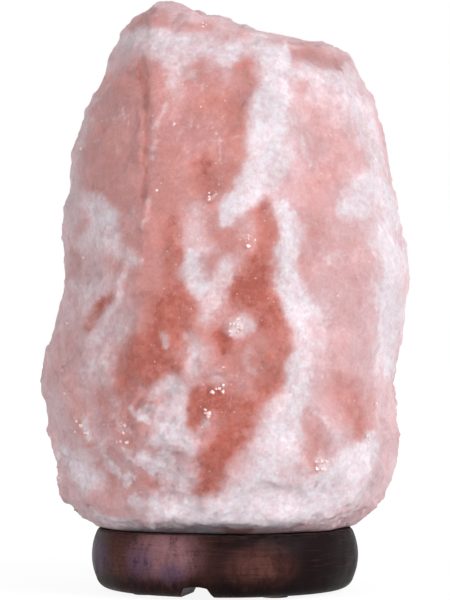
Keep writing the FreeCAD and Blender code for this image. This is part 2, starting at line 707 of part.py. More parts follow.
# ---- bulb ----
def envelope_outline(wall):
    """Closed outline of the bulb's glass drawn in by a wall: a neck, a flare and a round head."""
    head = BULB_RADIUS - wall
    neck = NECK_RADIUS - wall
    low = cap_bottom + CAP_LENGTH - GLASS_IN_CAP
    neck_top = cap_bottom + CAP_LENGTH + NECK_ABOVE_CAP
    centre = bulb_top - BULB_RADIUS
    rise = centre - neck_top
    flare = (rise ** 2 + neck ** 2 - head ** 2) / (2 * (head - neck))
    reach = head / (head + flare)
    meet = (reach * (neck + flare), centre - reach * rise)
    flare_turn = math.atan2(rise, neck + flare) / 2
    flare_middle = (neck + flare - flare * math.cos(flare_turn), neck_top + flare * math.sin(flare_turn))
    return [
        line((0, low), (neck, low)),
        line((neck, low), (neck, neck_top)),
        arc((neck, neck_top), flare_middle, meet),
        arc(meet, (head, centre), (0, centre + head)),
        line((0, centre + head), (0, low)),
    ]


def bulb_glass():
    outer = revolved(envelope_outline(0.0))
    inner = revolved(envelope_outline(GLASS_WALL))
    return outer.cut(inner)


def bulb_cap():
    """Thin brass cap with its thread, a little rolled rim at the top and an inward rim at the bottom."""
    body = cylinder(THREAD_ROOT, cap_bottom, cap_bottom + CAP_LENGTH)
    ridge = screw_thread(
        THREAD_ROOT - THREAD_SINK, THREAD_CREST, THREAD_ROOT_WIDTH, THREAD_CREST_WIDTH, THREAD_TURNS, thread_bottom
    )
    return body.fuse(ridge).cut(cylinder(THREAD_ROOT - CAP_WALL, cap_bottom - 1, cap_bottom + CAP_LENGTH + 1))


def bulb_insulator():
    """The black glass that closes the cap and carries the centre contact."""
    plug = cylinder(THREAD_ROOT - CAP_WALL - SLIP_FIT / 2, cap_bottom, cap_bottom + INSULATOR_PLUG)
    cone = Part.makeCone(CONTACT_RADIUS, THREAD_ROOT - CAP_WALL - SLIP_FIT / 2, INSULATOR_HEIGHT,
                         Vector(0, 0, insulator_bottom))
    return cone.fuse(plug)


def bulb_contact():
    crown = (CONTACT_RADIUS ** 2 + CONTACT_HEIGHT ** 2) / (2 * CONTACT_HEIGHT)
    ball = Part.makeSphere(crown, Vector(0, 0, contact_bottom + crown))
    return ball.common(cylinder(CONTACT_RADIUS, contact_bottom - 1, insulator_bottom))


def stem_top():
    return cap_bottom + CAP_LENGTH + STEM_HEIGHT


def bulb_stem():
    """The glass mount inside the neck: a flared foot, a cone and the pinch that holds the leads."""
    foot = NECK_RADIUS - GLASS_WALL - SLIP_FIT / 4
    low = cap_bottom + CAP_LENGTH - GLASS_IN_CAP
    shoulder = low + STEM_FOOT
    waist = shoulder + STEM_CONE
    return revolved([
        line((0, low), (foot, low)),
        line((foot, low), (foot, shoulder)),
        line((foot, shoulder), (STEM_RADIUS, waist)),
        line((STEM_RADIUS, waist), (STEM_RADIUS, stem_top())),
        line((STEM_RADIUS, stem_top()), (0, stem_top())),
        line((0, stem_top()), (0, low)),
    ])


def bulb_leads():
    leads = []
    foot = STEM_RADIUS - 2 * LEAD_RADIUS
    for side in (-1, 1):
        points = [
            Vector(side * foot, 0, stem_top()),
            Vector(side * foot, 0, stem_top() + LEAD_STRAIGHT),
            Vector(side * LEAD_SPREAD, 0, stem_top() + LEAD_HEIGHT),
        ]
        leads.append(rod(points, LEAD_RADIUS))
    return Part.makeCompound(leads)


def bulb_filament():
    """The filament arches from lead to lead over the top of its support."""
    level = stem_top() + LEAD_HEIGHT + FILAMENT_RADIUS
    half = LEAD_SPREAD
    points = [
        Vector(-half, 0, level),
        Vector(-0.5 * half, 0, level + 0.75 * FILAMENT_RISE),
        Vector(0, 0, level + FILAMENT_RISE),
        Vector(0.5 * half, 0, level + 0.75 * FILAMENT_RISE),
        Vector(half, 0, level),
    ]
    return rod(points, FILAMENT_RADIUS)


def filament_support():
    height = LEAD_HEIGHT + FILAMENT_RISE
    return Part.makeCylinder(LEAD_RADIUS, height - FILAMENT_CLEARANCE, Vector(0, 0, stem_top()))


PIECES = {
    "salt_crystal": salt_crystal(),
    "wooden_base": wooden_base(),
    "base_feet": base_feet(),
    "base_screws": base_screws(),
    "screw_washers": screw_washers(),
    "screw_plugs": screw_plugs(),
    "holder_cap": holder_cap(),
    "holder_sleeve": holder_sleeve(),
    "holder_core": holder_core(),
    "screw_shell": screw_shell(),
    "shell_rivets": shell_rivets(),
    "live_terminal": live_terminal(),
    "neutral_terminal": neutral_terminal(),
    "terminal_screws": terminal_screws(),
    "contact_tongue": contact_tongue(),
    "clip_collar": clip_collar(),
    "clip_rivets": clip_rivets(),
    "left_wing": spring_wing(-1),
    "right_wing": spring_wing(1),
    "bulb_glass": bulb_glass(),
    "bulb_cap": bulb_cap(),
    "bulb_insulator": bulb_insulator(),
    "bulb_contact": bulb_contact(),
    "bulb_stem": bulb_stem(),
    "bulb_leads": bulb_leads(),
    "bulb_filament": bulb_filament(),
    "filament_support": filament_support(),
}

os.makedirs("parts", exist_ok=True)
for name, shape in PIECES.items():
    shape.exportStep(f"parts/{name}.step")
    solids = len(shape.Solids)
    print(f"{name}: {solids} solid(s), {shape.Volume:.1f} mm3, valid {shape.isValid()}")
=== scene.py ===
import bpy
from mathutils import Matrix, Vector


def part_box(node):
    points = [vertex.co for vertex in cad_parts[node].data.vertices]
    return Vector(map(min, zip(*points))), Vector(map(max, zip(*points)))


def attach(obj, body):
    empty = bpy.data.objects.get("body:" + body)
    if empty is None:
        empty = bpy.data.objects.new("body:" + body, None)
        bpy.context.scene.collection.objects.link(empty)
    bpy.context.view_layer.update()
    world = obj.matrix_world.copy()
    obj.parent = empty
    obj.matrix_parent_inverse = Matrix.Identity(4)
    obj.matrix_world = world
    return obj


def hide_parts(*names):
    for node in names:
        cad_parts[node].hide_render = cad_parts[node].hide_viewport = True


bl_info = {
    "name": "Salt crystal lamp",
    "version": (1, 0, 0),
    "blender": (4, 5, 0),
    "location": "3D View > Sidebar > Salt lamp",
    "description": "Dresses a hewn rock salt lamp on its turned wooden base, with its lampholder and bulb",
    "category": "Add Mesh",
}

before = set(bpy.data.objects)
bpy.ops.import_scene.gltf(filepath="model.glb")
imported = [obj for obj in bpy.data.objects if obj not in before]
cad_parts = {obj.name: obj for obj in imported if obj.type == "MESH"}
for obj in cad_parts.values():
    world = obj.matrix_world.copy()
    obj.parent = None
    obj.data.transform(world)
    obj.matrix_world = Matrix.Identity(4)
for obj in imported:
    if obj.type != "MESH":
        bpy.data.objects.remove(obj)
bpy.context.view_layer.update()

import math

import bpy
import numpy as np
from bpy.props import FloatProperty, FloatVectorProperty, PointerProperty
from mathutils import Euler, Matrix, Vector, kdtree, noise

MM = 0.001
EYE_DISTANCE = 1.150      # from the lamp's axis to the viewer in front
EYE_HEIGHT = 0.10915
SENSOR_WIDTH = 36.0       # of the viewer's camera, in millimetres
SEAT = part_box("wooden_base")[1].z       # the height at which the block stands

# The block's bore, and round it, lower down, the holes for the screw plugs. Inside these walls nothing is hewn.
BORE_RADIUS = 0.021
BORE_WALL = 0.0235
BORE_TOP = 0.122
BORE_ROOF = 0.003         # its roof and what is near it aren't part of its round wall
BORE_SLACK = 0.0012       # points this near the round wall are set on it
FOOT_SLACK = 0.0008       # and points this near the sawn foot are set level
PLUG_WALL = 0.0362
PLUG_TOP = 0.054

# How far the hewing that a user doesn't set moves the surface.
SWELL = 0.0006            # broad soft lumps
FLANK_BULK = 0.0006       # the flanks stand out by this
FLANK_FACETS = 0.0019
FLANK_LUMPS = 0.0005
CRACKS = 0.0009
BURRS = 0.0005            # the rough zone's fine lumps
FOOT_LIP = 0.0014         # the front's swollen edge just over the wood
CRUST_CRACKS = 0.0009
CRUST_FLAKES = 0.0007
RIGHT_BULGE = 0.0013      # moves the right side outwards

# The broken facets, before they are given a depth: the spread of their slopes, and the most that one stands out.
FACET_TILT = 0.42
FACET_RISE = 0.22

# The ledge under the plateau and the crusty stretch low on the left of the front, in mm across and up.
LEDGE_SIDE = (21.5, 24.0)
LEDGE_FOOT = 196.0
LEDGE_HEIGHT = 7
LEDGE_STEP = 0.8          # how much further back the front lies for each millimetre up the ledge
CRUST_CENTRE = (-27.0, 56.0)
CRUST_REACH = (29.0, 32.0)
CRUST_MOTTLE = 0.65       # the most milk in its crusts

# How far noise moves the strokes' edges, in mm.
CARVED_EDGE_WANDER = 0.5
SEAM_EDGE_WANDER = 2.4

# Places where the block is pushed out or in: centre, reach and shift, in mm.
NUDGES = [
    ((38, 0, 201), (15, 40, 13), (1.2, 0, 2.3)),      # corner of the plateau
    ((27, 0, 206), (8, 40, 7), (0, 0, 0.7)),          # its inner end
    ((-8, 0, 219), (11, 40, 7), (0, 0, -1.6)),        # slope behind the peak
    ((-30, 0, 221), (7, 30, 6), (1.4, 0, -0.9)),      # left side of the peak
    ((62, -10, 106), (14, 45, 30), (1.2, 0, 0)),      # right flank
    ((60, 0, 60), (12, 45, 16), (0.8, 0, 0)),         # right foot
    ((-60, 0, 42), (12, 45, 14), (-1.0, 0, 0)),       # left foot
]

# Where clear grains sit in front: middle (across, up) and spread in mm, and how many.
GRAIN_BEDS = [
    ("crusty lump", (4.8, 99.3), 3.4, 9),
    ("glass edge", (-3.5, 76.3), 3.4, 8),
    ("crystal spot", (35.0, 47.3), 3.8, 9),
    ("hollow crust", (-5.4, 148.0), 1.5, 4),
    ("left knob", (-52.6, 60.1), 3.4, 6),
    ("left low crust", (-38.2, 57.8), 4.5, 7),
    ("low red", (-7.3, 64.6), 3.0, 5),
    ("right foot", (53.8, 55.6), 3.8, 5),
    ("upper arris", (-7.3, 212.5), 1.9, 3),
    ("middle wisps", (10.1, 131.8), 3.0, 5),
]
LOOSE_GRAINS = 36         # scattered over the rest of the block
LOOSE_GRAIN_SIZE = (0.0005, 0.0011)
BED_GRAIN_SIZE = (0.0006, 0.0014)
GRAIN_TURN = 0.7          # the most that a grain is turned out of the surface's way, in radians
GRAIN_LIFT = 0.05         # how far a grain stands out, in its own sizes
BORE_CLEAR = 0.03         # no grain is set nearer the axis
FAR_OFF = 1000.0          # added to the distance of what the viewer can't see

# Where the painted violet highlight on the base's rim is brightest: centre and reach.
VIOLET_SHEEN_PATCHES = [
    ((-0.0195, -0.046, 0.0100), (0.008, 0.03, 0.006)),
    ((-0.031, -0.040, 0.0130), (0.0075, 0.03, 0.009)),
    ((-0.048, -0.012, 0.0140), (0.010, 0.03, 0.010)),
]


def strokes(text):
    """Reads rows of a name, a strength and a line. A row goes on in the indented lines under it, and a point without
    a width has the one before it."""
    rows = []
    for row in text.strip().replace("\n ", " ").splitlines():
        head, points = row.split(":")
        line = []
        for point in points.split(","):
            across, up, *width = map(float, point.split())
            line.append((across, up, width[0] if width else line[-1][2]))
        rows.append((float(head.rsplit(" ", 1)[1]), line))
    return rows


# Seams, clouds, stains, films, and some painted light and shade in the salt, and what is carved out of it or stands
# proud of it.
# A line's points are across, up and half width in mm, as seen from the front on the plane through the lamp's axis.
# The number before the line is how strong the mark is, or for a carving, how far it stands out in mm.
# Some of these strokes paint light rather than seams: the two gleams are painted highlights, the lilac left rim, the
# left low rim and the right strip paint the rims' sheen in part, and the foot's bright lip is painted light that
# lifts the foot out of its shade.
MILKY_SEAMS = strokes("""
slanting white band 1: 20 200 3.4, 19 188 4.5, 17 177 6.4, 15 166 7.9, 12 157 7.2, 8 149 5.7, 3 141 3.4, 0 138 1.9
white arris under the peak 0.9: 22.2 205.4 1.1, 22.5 197.8 1.5
pale brow 0.6: 6 205 3.8, 11 206 4.5, 16 203
white fork 0.55: -40 207 3, -28 209 3.8, -17 208, -6 205, 3 200 3
lilac upper face 0.42: -24 203 5.3, -15 201, -19 195 4.5
lilac left rim 0.45: -45 198 2.6, -49 190 3, -53 181 3.4, -56 170, -58 158 3, -59 147, -60 132
strip beside the crease 0.38: -23.5 182.4 1.1, -25.4 173.3 1.7, -27.7 164.2 1.3
tail of the crease 0.35: -29.9 146.9 1.1, -30.7 141.6 1.3, -31.4 136.3 1.1
chip 0.4: -14.1 193.7 1.5, -10.7 191.4
hair line 1 0.36: -40.1 185 0.5, -38.2 180.1, -37.1 174.8
hair line 2 0.36: -8 189.2 0.6, -5.8 180.1, -3.5 171.4, -1.6 162 0.5
hair line 3 0.32: -49.5 176.3 0.6, -38.2 177.8
hair line 4 0.32: -48.8 169.5 0.6, -41.2 171.4, -38.6 165.4
hair line 5 0.34: -9.9 180.8 0.7, -14.1 175.6, -17.8 170.3, -15.6 165.4 0.6
hair line 6 0.3: -13.3 168.4 0.6, -4.3 169.5, 4.8 170.7
hair line 7 0.3: 4.8 190.7 0.6, 8.9 172.2
crust in the hollow 1: -5.4 148 0.8, -4.6 149.2
haze by the hollow 0.2: -11 142 3.8, -8 136 3.4
white blob 0.75: -13 126 3, -13 120 4.2, -10 114 3.4
second blob 0.5: 1 122 4.2, -3 115 4.5, -5 108 4.9, -7 103 2.6
small crust 0.25: -6.9 126.5 1.5, 10.1 134.8, 10.8 128.8
upright white seam 0.85: 22 145 2.3, 24 138 3.4, 23 131 3.8, 24 123 3.4, 24 115 4.5, 27 107 5.3
seam foot 0.66: 27 105 3.4, 28 94, 28 85 3.8, 28 77 4.9
left patch, upper 0.66: -52 147 3.4, -48 145 3.8, -44 142
left patch, lower 0.55: -51 131 4.5, -47 136 4.9, -40 129 4.2, -35 126 3
left flank, pale 0.45: -57 114 3.4, -51 113 4.5, -53 107 3.8
ridge line 0.5: -36.7 123.5 1.7, -39 116.7, -41.6 109.2, -45.4 102.4, -51.1 96.7
under the ridge 0.42: -39 99 4.9, -47 94 3.4
crusty lump 0.72: 3 98 2.6, 7 99 3.8, 5 101 3
little oval 0.8: -22.8 97.1 1.9, -22 93.3 1.5
pale column 0.45: -14 96 1.9, -11 90 3, -13 82 3.4
pale column, side 0.3: -6 92 3.4, -7 83
ring of the red pit 0.58: -27 75 3.8, -21 77, -17 71 4.5, -23 65 4.9
under the ring 0.38: -15 63 3.8, -25 56 3.4
grey ridge 0.6: -28 56 1.9, -18 57 3, -12 53
great pale fan 0.6: 27 75 4.9, 24 66 7.5, 21 56 9.8, 18 44 10.6, 16 34 9.1
fan crown 0.5: 18 60 3, 15 51 3.4, 14 40
foot band 0.78: -25 31 5.7, -13 30 6, 1 31 5.3, 12 32 5.7, 24 31 6
foot band, right 0.9: 35 33 7.5, 44 40 8.7, 51 50 6.4, 55 56 3.4
ledge under the plateau 0.6: 27 195 2.3, 40 194 3
right shoulder 0.6: 46 190 4.5, 51 181, 54 170, 58 160 3
upper right, pale 0.4: 33 186 4.9, 41 182 6
right cheek 0.75: 54 154 4.5, 51 146, 46 142 3.8
right strip 0.85: 60 151 3.4, 63 141 4.5, 60 133 4.2, 64 123 5.7, 61 113 4.2, 64 102 5.7, 61 92 3.8, 63 83 4.5
splinter 0.4: 28.2 169.9 0.9, 29.7 165 1.1, 31.6 159.7
right haze 0.35: 41 125 3.4, 46 128 3
right middle, pale 0.4: 35 102 5.7, 36 94 4.5
left low patch 0.4: -45 87 3.4, -50 82 4.5, -44 81 3
left low slope 0.35: -44 74 1.9, -40 68 2.6, -41 62 2.3, -37 60
left low rim 0.2: -64 100 2.6, -67 90, -68 79, -66 68, -62 56
left knob 0.8: -54.1 63.5 1.5, -53.3 60.1 1.7, -52.6 57.1 1.5
left foot white 0.72: -61 51 3, -56 46 5.7, -51 41 4.9
foot wisps 0.6: -36 34 1.9, -33 31
foot wisps, right 0.5: -25 45 3, -16 42 3.8
foot lip 0.6: -47 27 2.3, -28 23, -6 22 1.9
pale ridge 0.42: 28.9 77.5 1.1, 32.3 72.2 1.3, 36.9 65.4, 41.8 58.6 1.9
crystal spot gleam 0.6: 35.4 50.3 1.1, 36.9 47.3
wisps in the hot middle 0.45: 9 90 1.9, 6 87 2.3, 10 83 1.9
wisps in the hot middle, low 0.4: -5 77.5 1.9, -1.2 76.7 1.5, 1.8 79.7
low red gleam 0.5: -8 61.6 1.1, -5.8 63.1
fan, second crown 0.45: 28 71 2.6, 25 61 3, 22 52 3.4
foot, bright lip 0.5: -17 28 3.4, -6 26 3, 9 26 2.6, 24 27
""")
ROSE_CLOUDS = strokes("""
upper left cheek 0.9: -32 194 6, -38 185 9.4, -42 173 11.3, -44 160, -43 151 8.3
beside the crease 0.9: -28 193 4.5, -28 180 6.8, -28 166 8.3, -28 151
middle of the upper face 0.9: -10 191 6.8, -8 179 11.3, -8 166 12.1, -10 154 9.8
orange field 0.85: 7 195 3.8, 6 185 4.5, 4 170 5.3, 3 156 4.2
long rose band 0.95: -26 147 8.3, -25 132 9.1, -25 117 11.3, -22 102 12.1, -28 88 12.8
band foot 0.9: -34 81 9.8, -40 71 8.3, -37 62 6.8
left flank 0.5: -56 137 3, -57 121, -53 107 4.9, -50 102 4.5
left flank, inner 0.55: -38 135 3.4, -43 123 3.8, -34 130 2.3
left low flank 0.5: -58 94 5.3, -62 83, -58 71, -55 58 4.5
hot middle 0.95: 14 143 4.2, 15 132 5.3, 12 120 8.3, 14 107 10.2, 16 94 9.4, 16 82 9.1
hot middle, left 0.95: 0 97 6.4, -1 87 7.2, 0 75 9.8, 1 66, -2 54 7.5, -5 43 5.7, -8 34 3.4
between the blobs 0.75: -5 139 4.2, -4 132, 4 132 5.3, -1 128 3.4, -4 123 2.6, 1 109 3.8, -4 99 4.5
foot stains 0.55: -43 51 5.3, -40 41 6.8, -31 37 7.2, -25 48 4.2
right facet 0.5: 29 188 3, 36 175 7.2, 44 167 8.3, 38 156 9.4, 33 141 7.9, 32 126 8.3, 30 114 4.2
right field 0.34: 46 135 8.3, 49 120 9.1, 45 103, 46 88 10.6, 48 75 9.1
right low field 0.62: 43 77 5.3, 48 70 6, 51 62, 50 56 3
crystal spot 0.55: 30 71 2.6, 33 62 4.9, 34 51 5.7, 32 45 4.2
top stain 0.65: -32 214 3.4, -24 215 3.8, -17 212 2.3
top stain, right 0.6: -13.3 212.5 1.5, -7.3 213.3 2.6
brow stain 0.5: 2.5 208 2.6, 7.8 208.8, 5.5 211 1.5
plateau 0.8: 25 203 2.6, 33 202 3.4, 43 200 2.6
foot edge, left 0.4: -52 34 3.4, -43 29 3
fan, blush 0.3: 27 53 3.4, 24 39 4.2
foot bruise 0.8: 1 22.4 1.5, 5.5 21.6 1.9, 9.3 21.6 1.5
""")
IRON_STAINS = strokes("""
upper stain 0.5: -8 183 4.2, 0 186 5.3, 4 175 4.9, 5 166 5.3, 3 154 4.2
salmon brow 0.4: 8 197 3.4, 10 191
salmon spot 0.28: -8 197 4.5, -4 194 3.8
deep hollow 0.62: -8 160 4.9, -6 153 5.8, -6 148 4.2
crease 0.62: -31.4 199 0.8, -30.7 186.5 1.1, -29.9 175.2, -29.9 163.9, -30.7 152.5 0.9, -31.4 147.6 0.8
dusty cheek 0.36: -42 188 4.5, -34 191 3.4
dusty cheek, low 0.3: -47 173 3.4, -40 165 3.8
rose middle 0.3: -21 166 5.3, -19 155, -22 145 4.5
long band, right edge 0.6: -20 137 4.1, -19 127 3.6, -19 117 4.1, -16 109 5.9, -17 100 6.8
long band core 0.68: -23 109 5.9, -20 103 6.8, -25 94, -32 90
band bend 0.68: -27 87 9.1, -21 84 5.9, -36 84, -38 77 4.1
band veil 0.3: -28 141 5.3, -28 124, -30 109
pit under the ridge 0.66: -52.6 99.3 2.7, -48.4 103.9 3.6, -45.8 107.3 2.7, -43.5 111.4 1.8
orange tongue 0.65: 14 145 2.7, 16 139 3.6, 15 132 4.1, 14 123 5
orange tongue, lower 0.8: 12 119 5, 8 114 5.9, 5 113 4.1
ember 0.95: 4.8 117.8 1.5, 5.2 112.9 2.3
orange tongue, side 0.45: 16 114 3, 18 108
wisp 0.45: 5 134 3.8, 1 129 3.4, -4 132 1.9
red bank 0.7: 9 107 5.9, 14 103 7.7, 19 96 5.9, 20 87, 16 79 5.4, 14 73 4.1
dark slot 0.85: -2 98 1.9, 0 93 2.3, 0 90 1.9
slot haze 0.5: 0 86 5.4, 6 90 4.5, -4 94 3.6
red hollow 0.9: -11 72 3.2, -9 67 3.6, -11 62 2.3
low red 0.85: -4 73 4.1, 1 71 5.4, 4 67 6.3, 4 60, 1 56 4.1
low tail 0.85: -1 53 3.6, -4 47 5.4, -6 41 4.5
low tail foot 0.5: -7.7 35.6 2.3, -8.4 29.9 1.5
plateau spot 0.5: 30 203 2.6, 33 202 2.3
right stain 0.26: 35 154 2.6, 35 141 3.4, 34 131, 30 123 3
right grains 0.22: 40 169 4.2, 46 163, 41 155
right side stain 0.3: 48 129 3.8, 53 133 3
right low salmon 0.52: 50 69 4.1, 52 62 4.5, 51 57 2.3
crystal spot 0.42: 33 59 3.4, 34 48
foot stain 1 0.42: -46.2 48.8 1.5, -43.5 41.2 1.9, -42.8 32.9 1.5
foot stain 2 0.35: -32 45 2.3, -27 39 3, -30 33 1.9
foot stain 3 0.4: -38 56 1.9, -34 53 2.3, -25 53 1.9
left low stain 0.45: -54.5 70.7 1.9, -56 62.4 1.5, -51.8 54.4 1.9
grey hollow 0.35: -46 73 2.6, -44 67 1.9
grey hollow, right 0.35: -32 70 3, -31 79 2.3
left flank stain 0.4: -37 133 2.6, -40 122
left flank stain 2 0.35: -51.8 139 1.9, -54.8 131.8 1.5
peak stain 0.3: -33 213 2.6, -27 215 3.4, -20 213 2.6
peak stain, small 0.42: -13.3 212.5 1.1, -7.3 213.3 1.9
brow stain 0.35: 6 209 1.9, 8 207
foot bruise 0.75: 1 22.4 1.1, 5.5 21.6 1.5, 9.3 21.6 1.1
foot flake 0.3: 18 31 2.6, 16 28 1.9
""")
# A grey film, partly dust and partly painted shade: crease dark and foot shade paint shade, the plateau's film paints
# the shade of the set-back plateau, and the strokes on the left paint part of the shade of the side turned from the
# light.
DUST_AND_SHADE = strokes("""
plateau 0.5: 25 203 2.6, 31 202 3.4, 39 201, 44 199 2.3
upper left dust 0.22: -37 181 11.3, -42 162 12.8
left rim dust 0.42: -44 199 2.3, -50 185 3.4, -56 170 3.8, -59 153, -60 134 3.4, -59 119 3
left flank dust 0.25: -56 143 6, -53 124, -56 105, -62 87 6.8, -62 68 6, -57 49 3
long band dust 0.22: -28 134 5.7, -30 113 6.4, -37 97 5.7
crease dark 0.2: -31.4 197.5 0.9, -29.5 184.6 1.1, -28.8 173.3, -29.5 160.1, -30.7 148.8 0.9
grey hollow dust 0.3: -39 73 6.8, -36 63 4.9, -28 50 4.2
right low rim 0.4: 61 54 2.6, 59 44 3, 53 36 2.3
foot bruise 0.8: 0.3 22 1.5, 5.5 21.2 1.7, 9.3 21.2 1.5
peak dust 0.4: -33 213 3.4, -25 215 3.8, -17 213 3
foot shade 0.3: -53 37 3.4, -48 33 4.2, -32 29 3.4
""")
CARVINGS = strokes("""
crease -1.1: -31.8 199.7 1.2, -30.7 188.4 1.5, -29.9 177.8 1.7, -29.9 166.5 1.5, -30.7 155.9, -31.4 146.9 1.2
strip beside the crease 0.54: -26 194 1.9, -25 185 2.3, -26 176, -28 167 1.9
edge of the white band -0.6: 23.3 195.2 0.9, 25.2 187.6, 27.8 178.6, 30.1 169.5, 32.3 159.7
splinter 0.54: 27.8 170.3 1.2, 29.3 165.8 1.4, 31.6 160.1 1.2
white band crown 0.72: 20 200 4.2, 20 188 4.7, 18 177 6.1, 16 166 6.6, 12 154 4.7
deep hollow -1.2: -10 159 3.8, -7 154 4.2, -7 150 3.3
crust 0.96: -5.4 147.6 1.4, -4.3 149.5
left pit -1.56: -48 104 2.3, -46 107 2.8, -44 110 2.3
ridge over the pit 0.9: -36 128 1.9, -38 120, -40 113, -44 105, -48 98 2.3, -52 93
long hollow -0.96: -25 135 4.7, -22 123 5.7, -20 111 6.1, -25 99 5.7
orange slot -1.32: 14 145 2.3, 15 135 3.3, 12 125, 7 116, 4 109 2.3
upright seam 0.66: 23 143 1.9, 23 132 2.3, 23 123, 25 113 2.8, 27 102 3.3
dark slot -1.2: -1.6 97.8 1.4, -0.5 92.5 1.9, -1.2 88.8 1.4
crusty lump 0.9: 4 100 2.8, 7 99 3.3
little oval 0.6: -23.1 98.2 1.4, -22 93.3
crack -0.84: -14.8 98.6 0.9, -12.6 94.1 1.2, -11.1 89.5, -13.3 84.2
red pit -1.2: -23.1 72.2 1.7, -22.8 69.5
grey ridge 1.2: -31 60 2.3, -25 59 2.8, -19 57, -13 54 2.3
hollow over the ridge -1.08: -37 73 4.2, -34 67 4.7, -28 64 3.3
left knob 1.02: -54 63 1.9, -53 60 2.1, -53 57 1.9
left low ledge 0.72: -50 86 2.8, -44 82 2.3, -41 76
left low hollow -0.96: -47 73 2.8, -48 67 3.3, -47 59 2.8
foot hollow 1 -0.9: -45 49 2.3, -44 41, -43 34 1.9
foot hollow 2 -0.72: -31 43 2.3, -28 40 2.8, -30 35 2.3
foot knob 0.72: -29 47 1.9, -25 45
red hollow -0.96: -13 72 2.3, -10 69 2.8, -11 64
glass edge 0.72: -7.7 75.9 1.4, -4.6 76.7, -1.2 77.8
low orange slot -0.96: 3 71 3.8, 4 64 4.2, 0 54 3.8, -4 43 3.3
pale ridge 0.96: 28.9 77.5 1.4, 32.3 72.2, 36.9 65.4, 41.8 57.8 1.9
crystal spot -0.96: 30 62 3.3, 33 56 4.2, 32 48 3.8
crystal lumps 0.84: 35 51 1.9, 37 47, 34 43
right ledge -0.66: 43.3 161.6 0.9, 47.8 162.7 1.1, 52.3 163.1, 56.9 162 0.9
right arc -0.84: 46 67 2.3, 51 63 2.8, 56 65 2.3
right rim flake -0.9: 62.5 138.6 0.9, 64 129.9 1.1, 65.2 121.2, 65.5 112.9 0.9, 64.4 99.7, 64 84.6
right low rim flake -0.78: 62.9 63.9 0.9, 61.4 56.3 1.1, 56.9 45 1.2, 53.1 37.5
fan crown 0.6: 25 74 4.7, 21 62 6.6, 14 48 7.1, 8 37 5.7
foot lip 0.48: -44 28 2.3, -28 26, -10 25, 9 25, 28 28
foot bruise -0.84: 0 22 1.9, 5 21, 9 21
fork notch -0.84: -7.7 211 1.9, -1.2 207.3, 4 203.1, 7.8 206.5 1.7, 11.6 209.2 1.4
hair line 3 -0.3: -8 189.2 0.9, -5.8 180.8, -3.5 171.4, -1.2 159
hair line 4 -0.24: -8.4 182.4 0.9, -12.6 176.3, -17.1 169.5
peak scoop -0.96: -34 212 3.3, -27 213 3.8, -19 212 2.8
""")


# ---- sizes and colours that a user may change ----

def tint(red, green, blue):
    """A colour given by its usual 0 to 255 parts, as a shader wants it."""
    parts = [c / 255 for c in (red, green, blue)]
    return tuple(c / 12.92 if c <= 0.04045 else ((c + 0.055) / 1.055) ** 2.4 for c in parts)


def colour_choice(name, description, red, green, blue):
    return FloatVectorProperty(name=name, description=description, subtype="COLOR", size=3, min=0, max=1,
                               default=tint(red, green, blue))


def length_choice(name, description, metres):
    return FloatProperty(name=name, description=description, default=metres, min=0, unit="LENGTH", subtype="DISTANCE")


def power_choice(name, description, watts):
    return FloatProperty(name=name, description=description, default=watts, min=0, unit="POWER")


class SaltSizes(bpy.types.PropertyGroup):
    """How the block of salt is hewn, and the colours in it."""
    mesh_step: length_choice("Mesh step", "Spacing of the block's surface points", 0.00128)
    facet_size: length_choice("Facet size", "Width of the large hewn facets", 0.021)
    facet_depth: length_choice("Facet depth", "How far the large facets rise and fall", 0.0009)
    chip_size: length_choice("Chip size", "Width of the small chips", 0.0075)
    chip_depth: length_choice("Chip depth", "How far the small chips rise and fall", 0.0008)
    grit_depth: length_choice("Grit depth", "Depth of the finest roughness", 0.00035)
    rose: colour_choice("Rose", "The rose clouds in the salt", 221, 155, 151)
    blush: colour_choice("Blush", "The salt's main pale pink", 236, 194, 198)
    milk: colour_choice("Milk", "The milky seams", 252, 241, 248)
    peach: colour_choice("Peach", "Light iron stain", 224, 142, 128)
    ember: colour_choice("Ember", "Deep iron stain", 192, 98, 82)
    # partly painted shade: the grey of the film of dust and shade
    dust_and_shade_colour: colour_choice("Smoke", "The dull film on the weathered faces", 176, 138, 141)


class WoodColours(bpy.types.PropertyGroup):
    """Colours of the stained and waxed base."""
    # this colour also serves as painted shade, towards the right and along the bottom of the base
    dark: colour_choice("Dark wood", "Late wood and the darkest stain", 21, 12, 12)
    brown: colour_choice("Brown wood", "Main colour of the stained wood", 47, 28, 26)
    red: colour_choice("Red wood", "Early wood in the heart of the figure", 93, 57, 51)
    # painted highlight: the violet at the brightest places of the highlight on the rim
    bloom: colour_choice("Wax bloom", "Pale rosy bloom of the wax", 142, 102, 108)
    # painted highlight: the colour of the pale rosy highlight on the front left of the rim
    violet_sheen: colour_choice("Violet bloom", "Where the wax lies brightest", 82, 66, 92)
    ring_step: length_choice("Ring step", "Width of one year's ring", 0.0012)


class StageSizes(bpy.types.PropertyGroup):
    """The table, the lights and the viewer."""
    table_size: length_choice("Table size", "Side of the pale table top", 8.0)
    key_power: power_choice("Key light", "Power of the soft light at the right", 24.0)
    fill_power: power_choice("Fill light", "Power of the soft light at the left", 4.3)
    low_power: power_choice("Low fill light", "Power of the soft light low in front", 3.6)
    room_level: FloatProperty(name="Room level", description="Light from the room around", default=0.56, min=0)
    lens: FloatProperty(name="Lens", description="Focal length in millimetres", default=182.85, min=1)


# ---- nodes ----

def feed(node, inputs):
    """Sets a node's inputs, each to a value or to another node's output."""
    for key, value in inputs.items():
        if isinstance(value, bpy.types.NodeSocket):
            node.id_data.links.new(value, node.inputs[key])
        else:
            node.inputs[key].default_value = value
    return node


def rgba(colour):
    """A plain colour with its fourth part. A node's output stays as it is."""
    return colour if isinstance(colour, bpy.types.NodeSocket) else (*colour[:3], 1.0)


